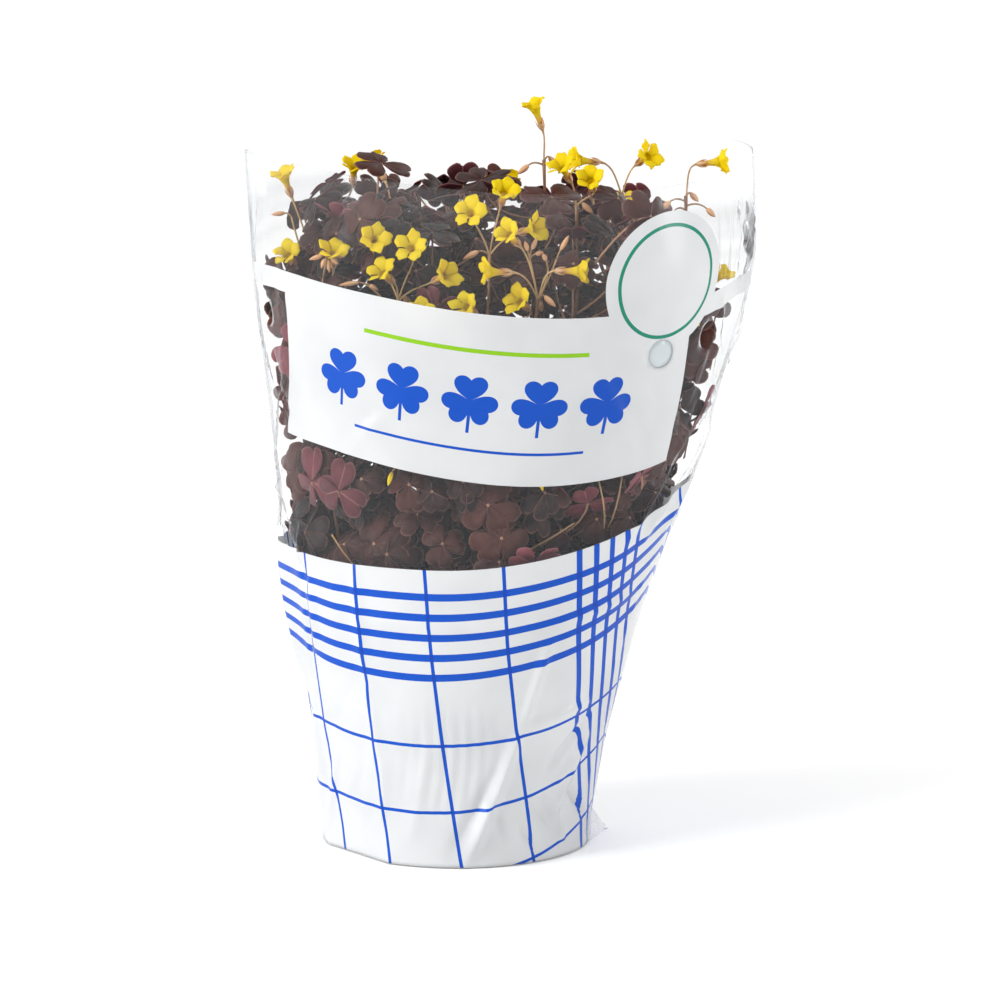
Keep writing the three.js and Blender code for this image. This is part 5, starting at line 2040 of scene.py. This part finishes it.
def place_plant():
    """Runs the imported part's placement rules, then fills the bush out."""
    stalk_columns = [column_through(vector(spray[0])) for spray in SPRAYS]
    stems = []
    for i, column in enumerate(stem_columns(stalk_columns)):
        stems.append({"owner": i, "column": column, "top_z": stem_top_z(column, i), "leaves": []})
    for stem in stems:
        points = beads_of_column(stem["column"], SOIL["edge_z"], stem["top_z"])
        beads.add(points, STEM["radius"] + BEAD["margin"], stem["owner"])
    for i, spray in enumerate(SPRAYS):
        owner = STALK_OWNER + i
        fork = vector(spray[0])
        for bloom in spray[1]:
            foot, axis = vector(bloom[0]), bloom_axis(bloom)
            beads.add(foot + axis * 4, 3, owner)
            beads.add(foot + axis * (CALYX_LENGTH + COROLLA["length"]), COROLLA["mouth_radius"], owner)
            beads.add(beads_of_bezier(pedicel_points(fork, bloom)), STALK_RADIUS + BEAD["margin"], owner)
        points = beads_of_column(stalk_columns[i], SOIL["edge_z"], fork[2])
        beads.add(points, STALK_RADIUS + BEAD["margin"], owner)
        for curve in bud_points(spray, i):
            beads.add(beads_of_bezier(curve), STALK_RADIUS + BEAD["margin"], owner)
            tangent = unit(curve[2] - curve[1])
            beads.add(curve[2] + tangent * BUD_LENGTH / 2, BEAD["bud"], owner)
    grow_crown(stems)
    grow_leaves(stems)
    show_leaves(stems)
    fill_leaves(stems)
    return stems


def build_plant():
    stems = place_plant()
    stalk = stalk_material("stalk", (0.22, 0.10, 0.055), (0.62, 0.42, 0.19))
    stem_skin = stalk_material("stem_skin", (0.055, 0.020, 0.014), (0.46, 0.25, 0.14))
    leaf_skins = [leaf_material("leaf_top", *LEAF_TOP, 0.5), leaf_material("leaf_under", *LEAF_UNDER, 0.6)]
    sepal, petal = sepal_material(), petal_material()
    random = random_source(1812)

    def grow(name, index, shape, materials):
        node = f"{name}_{index + 1:02d}"
        make_piece(node + "_fine", shape, materials, [node])

    for i, stem in enumerate(stems):
        grow("leafy_stem", i, stem_shape(stem, random), [*leaf_skins, stem_skin])
    for i, spray in enumerate(SPRAYS):
        grow("flower_stalk", i, stalk_shape(spray, i, random), [stalk, sepal, petal])
    for i, bloom in enumerate(bloom for spray in SPRAYS for bloom in spray[1]):
        grow("corolla", i, corolla_shape(bloom, random), [petal])


# Light for the object, apart from the white backdrop that the camera sees
ROOM_LIGHT = 0.84
SUN = {"power": 1.95, "angle": 30, "place": (-0.92, -0.52, 0.66)}
# Upright black flags stand all round: how many, and how dark they leave the room there
FLAGS = {"count": 5, "turn": 0.6, "dark": 0.88, "low": 0.75, "high": 0.45}
FLOOR_GLOW = 0.14
FLOOR_REACH = 6000
# Strip lights: name, place in metres, width and height, and power in watts
STRIPS = [
    ("left_strip", (-0.85, -0.4, 0.35), (0.14, 0.8), 2.6),
    ("right_strip", (0.9, -0.25, 0.35), (0.14, 0.8), 2.6),
    ("back_strip", (0.5, 0.8, 0.5), (0.2, 0.8), 2.0),
]


def build_floor():
    """A white sweep of floor, lit a little from below like a light table."""
    s = Shader("floor_white")
    white = s.skin((0.93, 0.93, 0.93), 0.6, 0.2, emission_color=(1, 1, 1), emission_strength=FLOOR_GLOW)
    corners = FLOOR_REACH * np.array([(-1, -1, 0), (1, -1, 0), (1, 1, 0), (-1, 1, 0)])
    new_object("floor", new_mesh("floor", corners, [(0, 1, 2, 3)], [s.finish(white)]))


def build_room():
    """A white backdrop for the camera, and for light an even room with upright flags round it."""
    s = Shader("studio", bpy.data.worlds, "OutputWorld")
    bpy.context.scene.world = s.material
    x, y, z = s.node("SeparateXYZ", {0: s.node("TexCoord").outputs["Generated"]}).outputs
    turn = s.plus(s.times(s.math("ARCTAN2", y, x), FLAGS["count"]), FLAGS["turn"])
    flags = s.times(s.step(0.3, 0.6, s.math("SINE", turn)), s.step(FLAGS["low"], FLAGS["high"], z))
    light = s.minus(ROOM_LIGHT, s.times(flags, ROOM_LIGHT * FLAGS["dark"]))
    room = s.node("Background", {"Color": (1, 1, 1), "Strength": light})
    backdrop = s.node("Background", {"Color": (1, 1, 1), "Strength": 1.1})
    seen = s.node("LightPath").outputs["Is Camera Ray"]
    s.finish(s.blend(seen, room.outputs[0], backdrop.outputs[0]))


def build_lights():
    sun = bpy.data.lights.new("overhead", "SUN")
    sun.energy = SUN["power"]
    sun.angle = math.radians(SUN["angle"])
    place_light(sun, SUN["place"], (0, 0, 0))
    for name, place, size, power in STRIPS:
        light = bpy.data.lights.new(name, "AREA")
        light.shape = "RECTANGLE"
        light.size, light.size_y = size
        light.energy = power
        place_light(light, place, (0, 0, 0.14))


def place_light(light, place, aim):
    lamp = new_object(light.name, light)
    lamp.location = place
    lamp.rotation_mode = "QUATERNION"
    lamp.rotation_quaternion = (Vector(aim) - Vector(place)).to_track_quat("-Z", "Y")
    lamp.visible_camera = False


def build_camera():
    camera = new_object("camera", bpy.data.cameras.new("camera"))
    camera.location = CAMERA_PLACE
    camera.rotation_euler = (math.radians(90 - CAMERA_TILT), 0, 0)
    camera.data.lens = CAMERA_LENS
    camera.data.sensor_width = 36
    bpy.context.scene.camera = camera


build_camera()
build_plant()
pot_piece(pot_material())
soil_piece([soil_material(), perlite_material()])
film_piece(film_material(), film_inside_material())
seam_pieces(film_edge_material(), disc_material())
build_floor()
build_room()
build_lights()

scene = bpy.context.scene
scene.view_settings.view_transform = "Standard"
scene.cycles.use_denoising = True
scene.cycles.transparent_max_bounces = 16
scene.cycles.max_bounces = 4
scene.cycles.diffuse_bounces = 2
scene.cycles.glossy_bounces = 2
scene.cycles.caustics_reflective = False
scene.cycles.caustics_refractive = False

bpy.context.view_layer.update()
